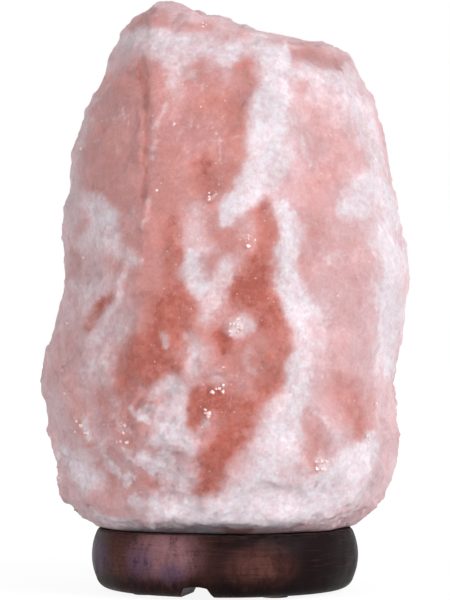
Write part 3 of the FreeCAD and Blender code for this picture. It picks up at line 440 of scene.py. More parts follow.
class Nodes:
    """Adds nodes to one tree. Patterns lie by the tree's own place, or by another one given as at."""

    def __init__(self, tree, where=None):
        self.tree, self.where = tree, where

    def put(self, kind, inputs={}, **settings):
        """Adds one node, with its settings and its inputs."""
        node = self.tree.nodes.new("ShaderNode" + kind)
        for key, value in settings.items():
            setattr(node, key, value)
        return feed(node, inputs)

    def maths(self, way, a, b=0.0, c=0.0, clamp=False):
        return self.put("Math", {0: a, 1: b, 2: c}, operation=way, use_clamp=clamp).outputs[0]

    def times(self, a, b, clamp=False):
        return self.maths("MULTIPLY", a, b, clamp=clamp)

    def blend(self, a, share, b):
        """A share of a, added to b."""
        return self.maths("MULTIPLY_ADD", a, share, b)

    def ease(self, value, low, high, to_low=0.0, to_high=1.0):
        """The value eased from one range to another, and held at its ends."""
        return self.put("MapRange", {0: value, 1: low, 2: high, 3: to_low, 4: to_high},
                        interpolation_type="SMOOTHSTEP").outputs[0]

    def mingle(self, share, a, b, way="MIX"):
        """Colour a turned into colour b by a share."""
        return self.put("Mix", {0: share, 6: rgba(a), 7: rgba(b)}, data_type="RGBA", blend_type=way,
                        clamp_factor=True).outputs[2]

    def pattern(self, kind, inputs, at=None, **settings):
        return self.put(kind, {"Vector": self.where if at is None else at, **inputs}, **settings).outputs

    def haze(self, scale, detail, roughness=0.5, distortion=0.0, at=None):
        return self.pattern("TexNoise", {"Scale": scale, "Detail": detail, "Roughness": roughness,
                                         "Distortion": distortion}, at)

    def clouds(self, size, detail=4.0, roughness=0.55, distortion=0.0, at=None):
        """Soft noise whose lumps are about the given size in metres."""
        return self.haze(1 / size, detail, roughness, distortion, at)["Fac"]

    def cells(self, scale, feature="F1", at=None):
        return self.pattern("TexVoronoi", {"Scale": scale}, at, feature=feature)

    def moved(self, shift=(0, 0, 0), scale=(1, 1, 1), turn=(0, 0, 0), at=None):
        return self.pattern("Mapping", {"Location": shift, "Scale": scale, "Rotation": turn}, at)[0]

    def stirred(self, share, scale, at):
        """A place stirred up by some noise."""
        return self.put("Mix", {0: share, 4: at, 5: self.haze(scale, 2.0)["Color"]}, data_type="VECTOR").outputs[1]

    def near(self, centre, reach):
        """1 at a centre, falling to 0 at a reach away along each axis."""
        scale = [1 / r for r in reach]
        local = self.moved([-c * s for c, s in zip(centre, scale)], scale)
        return self.pattern("TexGradient", {}, local, gradient_type="SPHERICAL")["Fac"]

    def part(self, vector, i):
        return self.put("SeparateXYZ", {0: vector}).outputs[i]

    def in_view(self):
        """1 for what is seen straight, mirrored or through glass."""
        path = self.put("LightPath").outputs
        return self.maths("MAXIMUM", self.maths("MAXIMUM", path["Is Camera Ray"], path["Is Glossy Ray"]),
                          path["Is Transmission Ray"])

    def use(self, shared, **inputs):
        """One of the shared effects, with this material's own values."""
        return feed(self.put("Group", node_tree=shared()), {"Position": self.where, **inputs}).outputs


# ---- shared effects ----

EFFECTS = {}


def effect(name, **numbers):
    """Makes a node group of a function that adds nodes and gives back outputs by name. The group takes a position
    and the numbers named, with these defaults, and is built when it is first used."""
    def wrap(build):
        def shared():
            if name not in EFFECTS:
                tree = EFFECTS[name] = bpy.data.node_groups.new(name, "ShaderNodeTree")
                tree.interface.new_socket("Position", in_out="INPUT", socket_type="NodeSocketVector")
                for label, number in numbers.items():
                    socket = tree.interface.new_socket(label, in_out="INPUT", socket_type="NodeSocketFloat")
                    socket.default_value = number
                given = tree.nodes.new("NodeGroupInput").outputs
                results = build(Nodes(tree, given["Position"]), given)
                for label in results:
                    tree.interface.new_socket(label, in_out="OUTPUT", socket_type="NodeSocketFloat")
                feed(tree.nodes.new("NodeGroupOutput"), results)
            return EFFECTS[name]
        return shared
    return wrap


@effect("Mineral grain", Size=0.0015, Share=0.08)
def mineral_grain(group, given):
    """Crystal grains: a fine uneven value, and a mask of the few grains that catch the light."""
    grain = group.cells(group.maths("DIVIDE", 1.0, given["Size"]))
    pick = group.put("SeparateColor", {0: grain["Color"]}).outputs[0]
    lit = group.maths("SUBTRACT", group.maths("SUBTRACT", 1.0, given["Share"]), pick)
    core = group.ease(grain["Distance"], 0.42, 0.22)
    return {"Grain": pick, "Sparkle": group.times(group.ease(lit, 0.02, -0.02), core)}


@effect("Fine scratches", Length=0.006, Amount=0.5)
def fine_scratches(group, given):
    """Short scratches in two crossing directions: a mask and a height."""
    masks = []
    for turn, seed in ((0.5, 3.0), (-1.1, 9.0)):
        laid = group.moved((seed, seed, 0), (1, 14, 14), (0.3, turn, turn))
        scratch = group.haze(group.maths("DIVIDE", 1.0, given["Length"]), 2.0, at=laid)["Fac"]
        masks.append(group.ease(scratch, 0.60, 0.72))
    both = group.times(group.maths("MAXIMUM", *masks), given["Amount"])
    return {"Mask": both, "Height": group.maths("SUBTRACT", 1.0, both)}


@effect("Handling wear", Size=0.006, Share=0.4)
def handling_wear(group, given):
    """Uneven patches where a surface is rubbed or tarnished."""
    tone = group.haze(group.maths("DIVIDE", 1.0, given["Size"]), 5.0, 0.62, 0.4)["Fac"]
    edge = group.maths("SUBTRACT", 0.75, group.times(given["Share"], 0.5))
    return {"Mask": group.ease(group.maths("SUBTRACT", tone, edge), -0.08, 0.10), "Tone": tone}


@effect("Settled dust", Amount=0.3)
def settled_dust(group, given):
    """Pale dust on what faces up."""
    up = group.ease(group.part(group.put("NewGeometry").outputs["Normal"], 2), 0.55, 0.95)
    patch = group.ease(group.clouds(0.004, 5.0), 0.42, 0.68)
    return {"Mask": group.times(group.times(up, patch), given["Amount"])}


@effect("Moulded skin", Size=0.0005)
def moulded_skin(group, given):
    """The fine grained skin of a moulded or pressed piece."""
    scale = group.maths("DIVIDE", 1.0, given["Size"])
    bead = group.cells(scale, "SMOOTH_F1")["Distance"]
    flow = group.haze(group.times(scale, 0.2), 3.0)["Fac"]
    return {"Height": group.maths("ADD", group.times(bead, 0.6), group.times(flow, 0.4))}


# ---- materials ----

class Finish(Nodes):
    """A material being made. Its plain values go on its shader's own sockets, and its colour is laid on in coats."""

    def __init__(self, name, values):
        self.material = bpy.data.materials.new(name)
        self.material.use_nodes = True
        super().__init__(self.material.node_tree)
        self.shader = feed(self.tree.nodes["Principled BSDF"], values)
        self.where = self.put("TexCoord").outputs["Object"]

    def ground(self, share, a, b):
        """The first coat: one colour turned into another by a share."""
        self.colour = self.mingle(share, a, b)

    def coat(self, share, colour, way="MIX"):
        """Lays a colour over the coats so far by a share."""
        self.colour = self.mingle(share, self.colour, colour, way)

    def done(self, rough, height, distance, strength, others={}):
        """Wires the colour, a roughness and a relief whose distance is in metres, and gives back the material."""
        relief = self.put("Bump", {"Height": height, "Distance": distance, "Strength": strength})
        feed(self.shader, {"Base Color": self.colour, "Roughness": rough, "Normal": relief.outputs[0], **others})
        return self.material


def rock_salt(salt):
    """Milky rose salt: seams, iron stains, and a film that is partly dust and partly painted shade, from the block's
    own attributes, broken up by mineral noise; a few grains carry painted glints.
    """
    stone = Finish("Rock salt", {
        "Subsurface Weight": 0.15, "Subsurface Radius": (1.0, 0.8, 0.75), "Subsurface Scale": 0.003,
        "IOR": 1.54, "Specular IOR Level": 0.4, "Sheen Weight": 0.22, "Sheen Roughness": 0.35,
        "Sheen Tint": (0.93, 0.88, 0.97, 1.0)})
    lumps = stone.clouds(0.009, 5.0, 0.62, 0.35)
    bits = stone.clouds(0.0026, 4.0, 0.6)
    other = stone.clouds(0.006, 5.0, 0.65, 0.5, stone.moved((3.1, 1.7, 0.4)))
    fine = stone.clouds(0.0011, 3.0, 0.6)
    grain = stone.use(mineral_grain, Size=0.0011, Share=0.025)

    def broken(name, coarse, coarse_share, fine_share, low, high):
        """One of the block's attributes, its edges broken up by coarse and fine noise."""
        raw = stone.put("Attribute", attribute_name=name).outputs["Fac"]
        for breaker, share in ((coarse, coarse_share), (bits, fine_share)):
            raw = stone.blend(stone.maths("SUBTRACT", breaker, 0.5), share, raw)
        return stone.ease(raw, low, high)

    def pair(a, share_a, b, share_b):
        return stone.maths("ADD", stone.times(a, share_a), stone.times(b, share_b))

    # partly painted light: some milky strokes carry painted highlights, rim sheen and a bright foot lip
    milky = broken("milky", lumps, 0.70, 0.50, 0.08, 0.88)
    rose = broken("rose", other, 0.70, 0.45, 0.05, 0.92)
    iron = broken("iron", other, 0.65, 0.60, 0.06, 1.12)
    # partly painted shade: the share of the grey film of dust and shade
    dust_and_shade = broken("dust_and_shade", lumps, 0.5, 0.4, 0.08, 0.95)
    broad = stone.clouds(0.02, 4.0, 0.6, at=stone.moved((0.7, 0.2, 0.9)))
    stone.ground(stone.ease(broad, 0.35, 0.68), salt.blush, tint(239, 208, 212))
    stone.coat(rose, salt.rose)
    chalk = stone.ease(pair(other, 0.6, bits, 0.4), 0.34, 0.56, 0.80, 1.0)
    stone.coat(stone.times(milky, chalk), salt.milk)
    depth = stone.ease(pair(lumps, 0.5, bits, 0.5), 0.36, 0.62, 0.55, 1.35)
    stain = stone.mingle(stone.times(iron, depth, clamp=True), salt.peach, salt.ember)
    stone.coat(stone.times(stone.times(iron, 1.3, clamp=True), stone.blend(milky, -0.6, 1.0)), stain)
    # painted shade in part: the grey film of dust and shade laid over the colour
    stone.coat(stone.times(dust_and_shade, 0.6), salt.dust_and_shade_colour)

    web = stone.cells(75.0, "DISTANCE_TO_EDGE", stone.stirred(0.12, 90.0, stone.where))["Distance"]
    veined = stone.ease(stone.clouds(0.014, 3.0, at=stone.moved((5.0, 2.0, 1.0))), 0.5, 0.66)
    stone.coat(stone.times(stone.times(stone.ease(web, 0.035, 0.0), veined), 0.3), tint(246, 222, 220))
    motes = pair(fine, 0.5, bits, 0.5)
    tones = [stone.ease(motes, 0.34, 0.66, *ends) for ends in ((0.93, 1.05), (0.84, 1.11), (0.85, 1.11))]
    stone.coat(1.0, stone.put("CombineColor", dict(enumerate(tones))).outputs[0], "MULTIPLY")
    stone.coat(stone.ease(grain["Grain"], 0.0, 1.0, 0.10, 0.0), salt.rose)
    # painted glints: a few grains made paler where they catch the light
    stone.coat(stone.times(grain["Sparkle"], 0.45), tint(255, 244, 242))

    rough = stone.blend(grain["Sparkle"], -0.25, stone.ease(lumps, 0.3, 0.7, 0.40, 0.62))
    flake = stone.cells(1 / 0.0034, at=stone.stirred(0.25, 240.0, stone.moved(scale=(1, 1, 0.7))))["Distance"]
    rugged = stone.ease(stone.clouds(0.018, 3.0, at=stone.moved((4.0, 1.0, 2.0))), 0.40, 0.58, 0.5, 1.0)
    height = stone.blend(bits, 0.7, stone.times(fine, 0.3))
    for bump, share in ((flake, 0.65), (grain["Grain"], 0.12)):
        height = stone.blend(bump, share, height)
    return stone.done(rough, stone.times(height, rugged), 0.0010, 0.7)


def dark_wood(wood):
    """Stained turned hardwood: uneven year rings round a heart near the front, turning marks, pores, a painted
    highlight on the front left of the rim, and painted shade towards the right and along the bottom.
    """
    rim = Finish("Dark wood", {
        "Coat Roughness": 0.32, "Coat IOR": 1.4, "IOR": 1.45, "Specular IOR Level": 0.05,
        "Specular Tint": (0.92, 0.76, 0.90, 1.0)})
    wander = rim.haze(42.0, 3.0, at=rim.moved(scale=(1, 0.25, 1)))["Color"]
    off = rim.put("VectorMath", {0: wander, 1: (0.5, 0.5, 0.5)}, operation="SUBTRACT").outputs[0]
    off = rim.put("VectorMath", {0: off, "Scale": 0.0075}, operation="SCALE").outputs[0]
    bent = rim.put("VectorMath", {0: rim.where, 1: off}, operation="ADD").outputs[0]
    heart = rim.moved((-0.0135 / 1.6, 0, -0.0125), (1 / 1.6, 0.10, 1.0), at=bent)
    from_heart = rim.put("VectorMath", {0: heart}, operation="LENGTH").outputs["Value"]
    outward = rim.put("CombineXYZ", {0: from_heart}).outputs[0]
    years = rim.clouds(0.0050, 1.0, at=rim.moved((0.0083, 0, 0), at=outward))
    lines = rim.clouds(wood.ring_step, 3.0, 0.7, at=outward)
    turned = rim.clouds(0.0007, 3.0, 0.65, at=rim.moved(scale=(0.05, 0.05, 1)))
    streak = rim.clouds(0.0035, 5.0, 0.62, at=rim.moved(scale=(1.0, 0.12, 0.5)))
    pores = rim.ease(rim.clouds(0.0006, 2.0, at=rim.moved(scale=(0.6, 0.3, 1))), 0.57, 0.72)
    mottle = rim.clouds(0.0048, 5.0, 0.72, at=rim.moved((0.013, 0, 0), (1.0, 0.3, 0.5)))

    rim.ground(rim.ease(years, 0.36, 0.62), wood.dark, wood.brown)
    rim.coat(rim.times(rim.ease(from_heart, 0.0125, 0.0035), rim.ease(streak, 0.3, 0.6, 0.5, 1.0)), wood.red)
    halo = rim.times(rim.ease(from_heart, 0.0085, 0.0125), rim.ease(from_heart, 0.0175, 0.0135))
    rim.coat(rim.times(halo, 0.7), wood.dark)
    warm = rim.ease(rim.near((-0.028, -0.040, 0.011), (0.036, 0.05, 0.026)), 0.0, 0.7)
    rim.coat(rim.times(warm, 0.55), wood.red)
    # painted highlight: a pale rosy highlight on the front left of the rim, broken up by the streaks
    bloom = rim.ease(rim.near((-0.0225, -0.0445, 0.0165), (0.019, 0.03, 0.013)), 0.0, 0.75)
    rim.coat(rim.times(bloom, rim.ease(streak, 0.25, 0.65, 0.55, 0.95)), wood.bloom)
    # painted highlight: violet where the highlight on the rim is brightest
    first, *rest = [rim.ease(rim.near(centre, reach), 0.0, 0.8) for centre, reach in VIOLET_SHEEN_PATCHES]
    rim.coat(rim.times(rim.maths("MAXIMUM", first, rim.maths("MAXIMUM", *rest)), 0.6), wood.violet_sheen)
    # painted shade: the base darkens towards its right side
    rim.coat(rim.times(rim.ease(rim.part(rim.where, 0), 0.016, 0.036), 0.95), wood.dark)
    rim.coat(rim.ease(lines, 0.46, 0.74, 0.0, 0.34), wood.dark)
    rim.coat(rim.ease(turned, 0.52, 0.70, 0.0, 0.35), wood.dark)
    rim.coat(rim.ease(turned, 0.46, 0.30, 0.0, 0.22), wood.red)
    rim.coat(rim.times(pores, 0.35), tint(14, 9, 8))
    rim.coat(rim.ease(mottle, 0.50, 0.66, 0.0, 0.5), wood.dark)
    # painted shade: the base darkens along its bottom, where the underside curves away from the light
    foot = rim.ease(rim.part(rim.where, 2), 0.0105, 0.0045)
    rim.coat(rim.times(foot, rim.ease(mottle, 0.35, 0.55, 0.35, 0.85)), wood.dark)
    marks = rim.use(fine_scratches, Length=0.007, Amount=1.0)
    rubbed = rim.ease(rim.near((-0.036, -0.036, 0.013), (0.014, 0.03, 0.009)), 0.0, 0.8, 0.0, 0.35)
    rim.coat(rim.times(marks["Mask"], rubbed), tint(150, 104, 84))
    rim.coat(rim.use(settled_dust, Amount=0.10)["Mask"], tint(170, 160, 158))

    tone = rim.use(handling_wear, Size=0.012, Share=0.5)["Tone"]
    rough = rim.blend(pores, 0.2, rim.ease(tone, 0.3, 0.7, 0.38, 0.56))
    height = rim.blend(turned, 0.3, rim.blend(pores, -0.5, rim.times(streak, 0.3)))
    return rim.done(rough, height, 0.0003, 0.45, {"Coat Weight": rim.ease(tone, 0.35, 0.65, 0.05, 0.0)})


def metal(name, colour, tarnish, roughness, wear_size, wear_share, scratches=0.5):
    """A worn metal: tarnish in uneven patches, fine scratches, and a roughness that follows both."""
    sheet = Finish(name, {"Metallic": 1.0})
    wear = sheet.use(handling_wear, Size=wear_size, Share=wear_share)
    marks = sheet.use(fine_scratches, Length=0.003, Amount=scratches)
    sheet.ground(sheet.times(wear["Mask"], 0.8), colour, tarnish)
    sheet.coat(sheet.times(marks["Mask"], 0.4), [min(1, c * 1.25) for c in colour])
    rough = sheet.blend(marks["Mask"], 0.12, sheet.ease(wear["Tone"], 0.3, 0.75, roughness, roughness + 0.24))
    return sheet.done(rough, marks["Height"], 0.00006, 0.4)


def moulding(name, colour, shade, roughness, skin=0.0004, depth=0.00004, dust_share=0.25, coat=0.0):
    """A moulded or pressed piece: fine skin, faint flow clouds and a little dust."""
    shell = Finish(name, {"IOR": 1.5, "Coat Weight": coat})
    wear = shell.use(handling_wear, Size=0.006, Share=0.4)
    skinned = shell.use(moulded_skin, Size=skin)
    marks = shell.use(fine_scratches, Length=0.004, Amount=0.4)
    shell.ground(shell.times(wear["Mask"], 0.7), colour, shade)
    shell.coat(shell.times(marks["Mask"], 0.3), [min(1, c * 1.6 + 0.02) for c in colour])
    shell.coat(shell.use(settled_dust, Amount=dust_share)["Mask"], tint(186, 180, 174))
    rough = shell.ease(wear["Tone"], 0.3, 0.7, roughness, min(1.0, roughness + 0.18))
    return shell.done(rough, skinned["Height"], depth, 0.6)


def glass(name, colour, roughness):
    """Blown glass with faint smears and a slight waviness."""
    blown = Finish(name, {"Transmission Weight": 1.0, "IOR": 1.5})
    smear = blown.clouds(0.007, 4.0, 0.6, 0.6, blown.moved((1, 1, 1), (1, 1, 0.4)))
    blown.ground(blown.ease(smear, 0.35, 0.75), colour, [c * 0.97 for c in colour])
    rough = blown.ease(smear, 0.45, 0.75, roughness, roughness + 0.05)
    return blown.done(rough, blown.clouds(0.012, 1.0), 0.0002, 0.2)


def clear_salt():
    """Small clear crystals: faint cloud inside, nearly smooth faces."""
    crystal = Finish("Clear salt", {
        "IOR": 1.54, "Specular IOR Level": 0.5, "Coat Weight": 0.15, "Coat Roughness": 0.1})
    cloud = crystal.clouds(0.0012, 3.0, 0.6)
    marks = crystal.use(fine_scratches, Length=0.0015, Amount=0.5)
    crystal.ground(crystal.ease(cloud, 0.35, 0.65), tint(244, 226, 226), tint(232, 190, 188))
    return crystal.done(crystal.ease(cloud, 0.3, 0.7, 0.10, 0.30), marks["Height"], 0.00005, 0.4)


def table_top():
    """Pale table: plain white to the eye and in reflections, but with the lamp's soft shadow; clear from below."""
    top = Finish("Table top", {"Roughness": 0.9, "Specular IOR Level": 0.1})
    top.ground(top.ease(top.clouds(0.02, 3.0), 0.3, 0.7), (0.90, 0.90, 0.90), (0.92, 0.92, 0.92))
    feed(top.shader, {"Base Color": top.colour})
    close = top.ease(top.near((0, 0, 0), (0.32, 0.32, 0.32)), 0.0, 0.6, 1.0, 0.86)
    white = top.put("Emission", {"Color": (1, 1, 1, 1), "Strength": 1.05})
    lit = top.put("MixShader", {0: top.times(top.in_view(), close), 1: top.shader.outputs[0], 2: white.outputs[0]})
    under, clear = top.put("NewGeometry").outputs["Backfacing"], top.put("BsdfTransparent").outputs[0]
    shown = top.put("MixShader", {0: under, 1: lit.outputs[0], 2: clear})
    feed(top.tree.nodes["Material Output"], {"Surface": shown.outputs[0]})
    return top.material


# ---- mesh helpers ----

def nothing_selected():
    if bpy.context.object and bpy.context.object.mode != "OBJECT":
        bpy.ops.object.mode_set(mode="OBJECT")
    bpy.ops.object.select_all(action="DESELECT")


def copy_of(node, name):
    """A new piece with a merged copy of a CAD node's mesh, selected and active."""
    nothing_selected()
    piece = bpy.data.objects.new(name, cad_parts[node].data.copy())
    bpy.context.scene.collection.objects.link(piece)
    piece.select_set(True)
    bpy.context.view_layer.objects.active = piece
    bpy.ops.object.mode_set(mode="EDIT")
    bpy.ops.mesh.select_all(action="SELECT")
    bpy.ops.mesh.remove_doubles(threshold=0.00001)
    bpy.ops.mesh.normals_make_consistent(inside=False)
    bpy.ops.object.mode_set(mode="OBJECT")
    return piece


def finish_with(piece, kind, **settings):
    """Adds one modifier to the active piece and applies it."""
    bpy.ops.object.modifier_add(type=kind)
    modifier = piece.modifiers[-1]
    for key, value in settings.items():
        setattr(modifier, key, value)
    bpy.ops.object.modifier_apply(modifier=modifier.name)


def points_and_normals(mesh):
    arrays = []
    for source, key in ((mesh.vertices, "co"), (mesh.vertex_normals, "vector")):
        values = np.empty(len(mesh.vertices) * 3, np.float32)
        source.foreach_get(key, values)
        arrays.append(values.reshape(-1, 3).astype(float))
    return arrays


def dress(material, *nodes):
    """Gives CAD nodes a material."""
    for name in nodes:
        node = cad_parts[name]
        if not node.material_slots:
            node.data.materials.append(material)
        for slot in node.material_slots:
            slot.material = material


def ramp(values, low, high):
    """Eases values from 0 at low to 1 at high."""
    t = np.clip((values - low) / (high - low), 0.0, 1.0)
    return t * t * (3 - 2 * t)


def rumble(points, size, seed, octaves=3):
    """Fractal noise at each point, about -1 to 1, with lumps of the given size."""
    shift = Vector((seed * 1.37, seed * 0.71, seed * 2.13))
    return np.array([noise.fractal(Vector(p) + shift, 0.8, 2.1, octaves) for p in points / size])


def facets(points, size, stretch, seed):
    """Height of a broken surface made of tilted flat facets, which meet in ridges. Facets are taller than wide."""
    scaled = points / (size, size, size * stretch)
    low, high = scaled.min(axis=0) - 0.5, scaled.max(axis=0) + 0.5
    dice = np.random.default_rng(seed)
    count = int(np.prod(high - low))
    seeds = dice.uniform(low, high, (count, 3))
    tilts = dice.normal(0, FACET_TILT, (count, 3))
    rises = dice.uniform(-FACET_RISE, FACET_RISE, count)
    tree = kdtree.KDTree(count)
    for i, s in enumerate(seeds):
        tree.insert(s, i)
    tree.balance()
    nearest = ([i for _, i, _ in tree.find_n(p, 3)] for p in scaled)
    return np.array([min(rises[i] + float(np.dot(tilts[i], p - seeds[i])) for i in three)
                     for p, three in zip(scaled, nearest)])


def from_the_front(points):
    """Where each point is seen from the viewer's place, on the upright plane through the axis, in mm."""
    nearness = EYE_DISTANCE / (EYE_DISTANCE + points[:, 1])
    across = points[:, 0] * nearness
    up = EYE_HEIGHT + (points[:, 2] - EYE_HEIGHT) * nearness
    return np.stack([across, up], axis=1) / MM


def wandering(points, size, seeds, octaves):
    """Noise in two directions, to make seen points and so the strokes' edges wander."""
    return np.stack([rumble(points, size, seed, octaves) for seed in seeds], axis=1)


def along(seen, line, core=0.0):
    """How near each seen point is to a line of (across, up, half width): 1 in its core, 0 at a whole width, with the
    core given in half widths."""
    result = np.zeros(len(seen))
    for (x0, y0, w0), (x1, y1, w1) in zip(line, line[1:]):
        run = np.array([x1 - x0, y1 - y0])
        t = np.clip(((seen - (x0, y0)) @ run) / max(run @ run, 1e-9), 0.0, 1.0)
        away = np.hypot(seen[:, 0] - x0 - t * run[0], seen[:, 1] - y0 - t * run[1])
        result = np.maximum(result, 1 - ramp(away / (w0 + (w1 - w0) * t), core, 2.0))
    return result


def field(seen, marks):
    """The share of one mineral at each seen point, from all its strokes together."""
    result = np.zeros(len(seen))
    for strength, line in marks:
        result = 1 - (1 - result) * (1 - strength * along(seen, line, 0.2))
    return result


def crust(seen):
    """How far points lie within the crusty stretch low on the left, from 0 to 1."""
    return 1 - ramp(np.linalg.norm((seen - CRUST_CENTRE) / CRUST_REACH, axis=1), 0.45, 1.0)


# ---- the block of salt ----

def relief_everywhere(points, normals, salt):
    """How far hewing moves the surface out, apart from what is carved in front."""
    up, back = points[:, 2], normals[:, 1]
    push = salt.facet_depth * facets(points, salt.facet_size, 1.7, 11)
    push += salt.chip_depth * facets(points, salt.chip_size, 1.3, 23)
    push += salt.grit_depth * rumble(points, 0.0045, 5.0, 4)
    push += SWELL * rumble(points, 0.014, 8.0)
    flank = 1 - ramp(np.abs(back), 0.25, 0.75)
    push += flank * (FLANK_BULK + FLANK_FACETS * facets(points, 0.017, 1.2, 41)
                     + FLANK_LUMPS * rumble(points, 0.010, 6.0))
    rough_zone = 0.25 + 0.75 * ramp(rumble(points, 0.03, 31.0, 2) - 0.012 * (up / MM - 95), -0.2, 0.5)
    push -= CRACKS * rough_zone * ramp(np.abs(rumble(points, 0.0065, 9.0)), 0.30, 0.0) * 0.6
    push += BURRS * rough_zone * rumble(points, 0.0032, 13.0)
    low_lip = ramp(up, SEAT + 0.0015, SEAT + 0.0045) * (1 - ramp(up, SEAT + 0.006, SEAT + 0.014))
    return push + FOOT_LIP * low_lip * ramp(-back, 0.35, 0.85)


def hew(points, normals, salt):
    """Moves the block's surface points: facets, chips, grit, and the carved creases, hollows and ridges."""
    up = points[:, 2]
    from_axis = np.hypot(points[:, 0], points[:, 1])
    in_bore = (from_axis < BORE_WALL) & (up < BORE_TOP)
    in_plugs = (from_axis < PLUG_WALL) & (up < PLUG_TOP)
    free = np.where(in_bore | in_plugs, 0.0, 1.0)
    facing = 1 - ramp(normals[:, 1], 0.0, 0.4)
    push = relief_everywhere(points, normals, salt)
    seen = from_the_front(points)
    seen = seen + CARVED_EDGE_WANDER * wandering(points, 0.006, (1.0, 2.0), 2)
    for amount, line in CARVINGS:
        push += MM * amount * along(seen, line) * facing
    crusty = facing * crust(seen)
    push -= CRUST_CRACKS * crusty * ramp(np.abs(rumble(points, 0.0095, 51.0)), 0.22, 0.0)
    push += CRUST_FLAKES * crusty * facets(points, 0.0052, 1.2, 57)
    result = points + normals * (push * free)[:, None]
    ledge = ramp(seen[:, 0], *LEDGE_SIDE) * np.clip(seen[:, 1] - LEDGE_FOOT, 0, LEDGE_HEIGHT) * facing
    result[:, 1] += MM * LEDGE_STEP * ledge * free
    result[:, 0] += RIGHT_BULGE * ramp(points[:, 0], 0.020, 0.056) * free
    for centre, reach, shift in NUDGES:
        away = np.linalg.norm((points - np.multiply(centre, MM)) / np.multiply(reach, MM), axis=1)
        result += ((1 - ramp(away, 0.0, 1.0)) * free)[:, None] * np.multiply(shift, MM)

    # The sawn foot stays flat on the wood, and the bore's wall stays round.
    result[up < SEAT + FOOT_SLACK, 2] = SEAT
    near_seat = 1 - ramp(up, SEAT, SEAT + 0.004)
    result[:, 2] = result[:, 2] * (1 - near_seat) + np.maximum(up, SEAT) * near_seat
    result[:, 2] = np.maximum(result[:, 2], SEAT)
    wall = in_bore & (up < BORE_TOP - BORE_ROOF) & (np.abs(from_axis - BORE_RADIUS) < BORE_SLACK)
    result[wall, :2] = points[wall, :2] * (BORE_RADIUS / from_axis[wall])[:, None]
    return result


# Each mineral's strokes in front, and what it has by noise at the sides and back: size of the lumps, seed, octaves,
# the range of noise that it fades in over, its most, and its least.
MINERALS = {
    "milky": (MILKY_SEAMS, 0.026, 12.0, 4, 0.0, 0.75, 1.0, 0.12),
    "rose": (ROSE_CLOUDS, 0.032, 15.0, 4, -0.45, 0.6, 1.0, 0.0),
    "iron": (IRON_STAINS, 0.030, 17.0, 4, 0.10, 0.85, 0.9, 0.0),
    "dust_and_shade": (DUST_AND_SHADE, 0.034, 21.0, 3, 0.15, 0.9, 0.5, 0.0),
}


def minerals(points, normals):
    """The milky, rose, iron, and dust and shade shares at each surface point: by name in front, by noise elsewhere.
    The dust and shade share is partly painted shade.
    """
    by_place = 1 - ramp(points[:, 1] / MM + 8 * rumble(points, 0.02, 33.0), -4.0, 18.0)
    by_slope = 1 - ramp(normals[:, 1], 0.02, 0.40)
    top = ramp(points[:, 2], 0.182, 0.198)
    facing = by_place * (1 - top) + by_slope * top
    seen = from_the_front(points)
    seen = seen + SEAM_EDGE_WANDER * wandering(points, 0.010, (3.0, 4.0), 4)
    tall = points * (1.0, 1.0, 0.6)
    shares = {}
    for name, (marks, size, seed, octaves, low, high, most, least) in MINERALS.items():
        back = ramp(rumble(tall, size, seed, octaves), low, high) * most + least
        shares[name] = field(seen, marks) * facing + back * (1 - facing)
    mottle = CRUST_MOTTLE * facing * crust(seen) * ramp(rumble(points, 0.0075, 55.0), 0.05, 0.45)
    shares["milky"] = np.maximum(shares["milky"], mottle)
    return shares


class SALT_LAMP_OT_crystal(bpy.types.Operator):
    """Hews the block of rock salt and gives it its seams and stains"""
    bl_idname = "salt_lamp.crystal"
    bl_label = "Hew the salt crystal"

    def execute(self, context):
        salt = context.scene.salt_lamp_salt
        piece = copy_of("salt_crystal", "hewn_salt")
        finish_with(piece, "REMESH", mode="VOXEL", voxel_size=salt.mesh_step, adaptivity=0.0)
        finish_with(piece, "SMOOTH", factor=0.5, iterations=10)
        block = piece.data
        points, normals = points_and_normals(block)
        points = hew(points, normals, salt)
        block.vertices.foreach_set("co", points.astype(np.float32).ravel())
        block.update()
        for name, values in minerals(points, normals).items():
            layer = block.attributes.new(name, "FLOAT", "POINT")
            layer.data.foreach_set("value", np.clip(values, -1.0, 1.5).astype(np.float32))
        bpy.ops.object.shade_smooth()
        block.materials.clear()
        block.materials.append(rock_salt(salt))
        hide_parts("salt_crystal")
        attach(piece, "lamp")
        return {"FINISHED"}


def cut_grain():
    """One small crystal of about unit size: a cube with a corner cut off and its edges bevelled."""
    nothing_selected()
    bpy.ops.mesh.primitive_cube_add(size=1.0)
    bpy.ops.object.mode_set(mode="EDIT")
    bpy.ops.mesh.bisect(plane_co=(0.28, 0.28, 0.28), plane_no=(1, 0.8, 0.9), use_fill=True, clear_outer=True)
    bpy.ops.mesh.select_all(action="SELECT")
    bpy.ops.mesh.bevel(offset=0.06, segments=1, affect="EDGES")
    bpy.ops.mesh.normals_make_consistent(inside=False)
    bpy.ops.object.mode_set(mode="OBJECT")
    return bpy.context.object


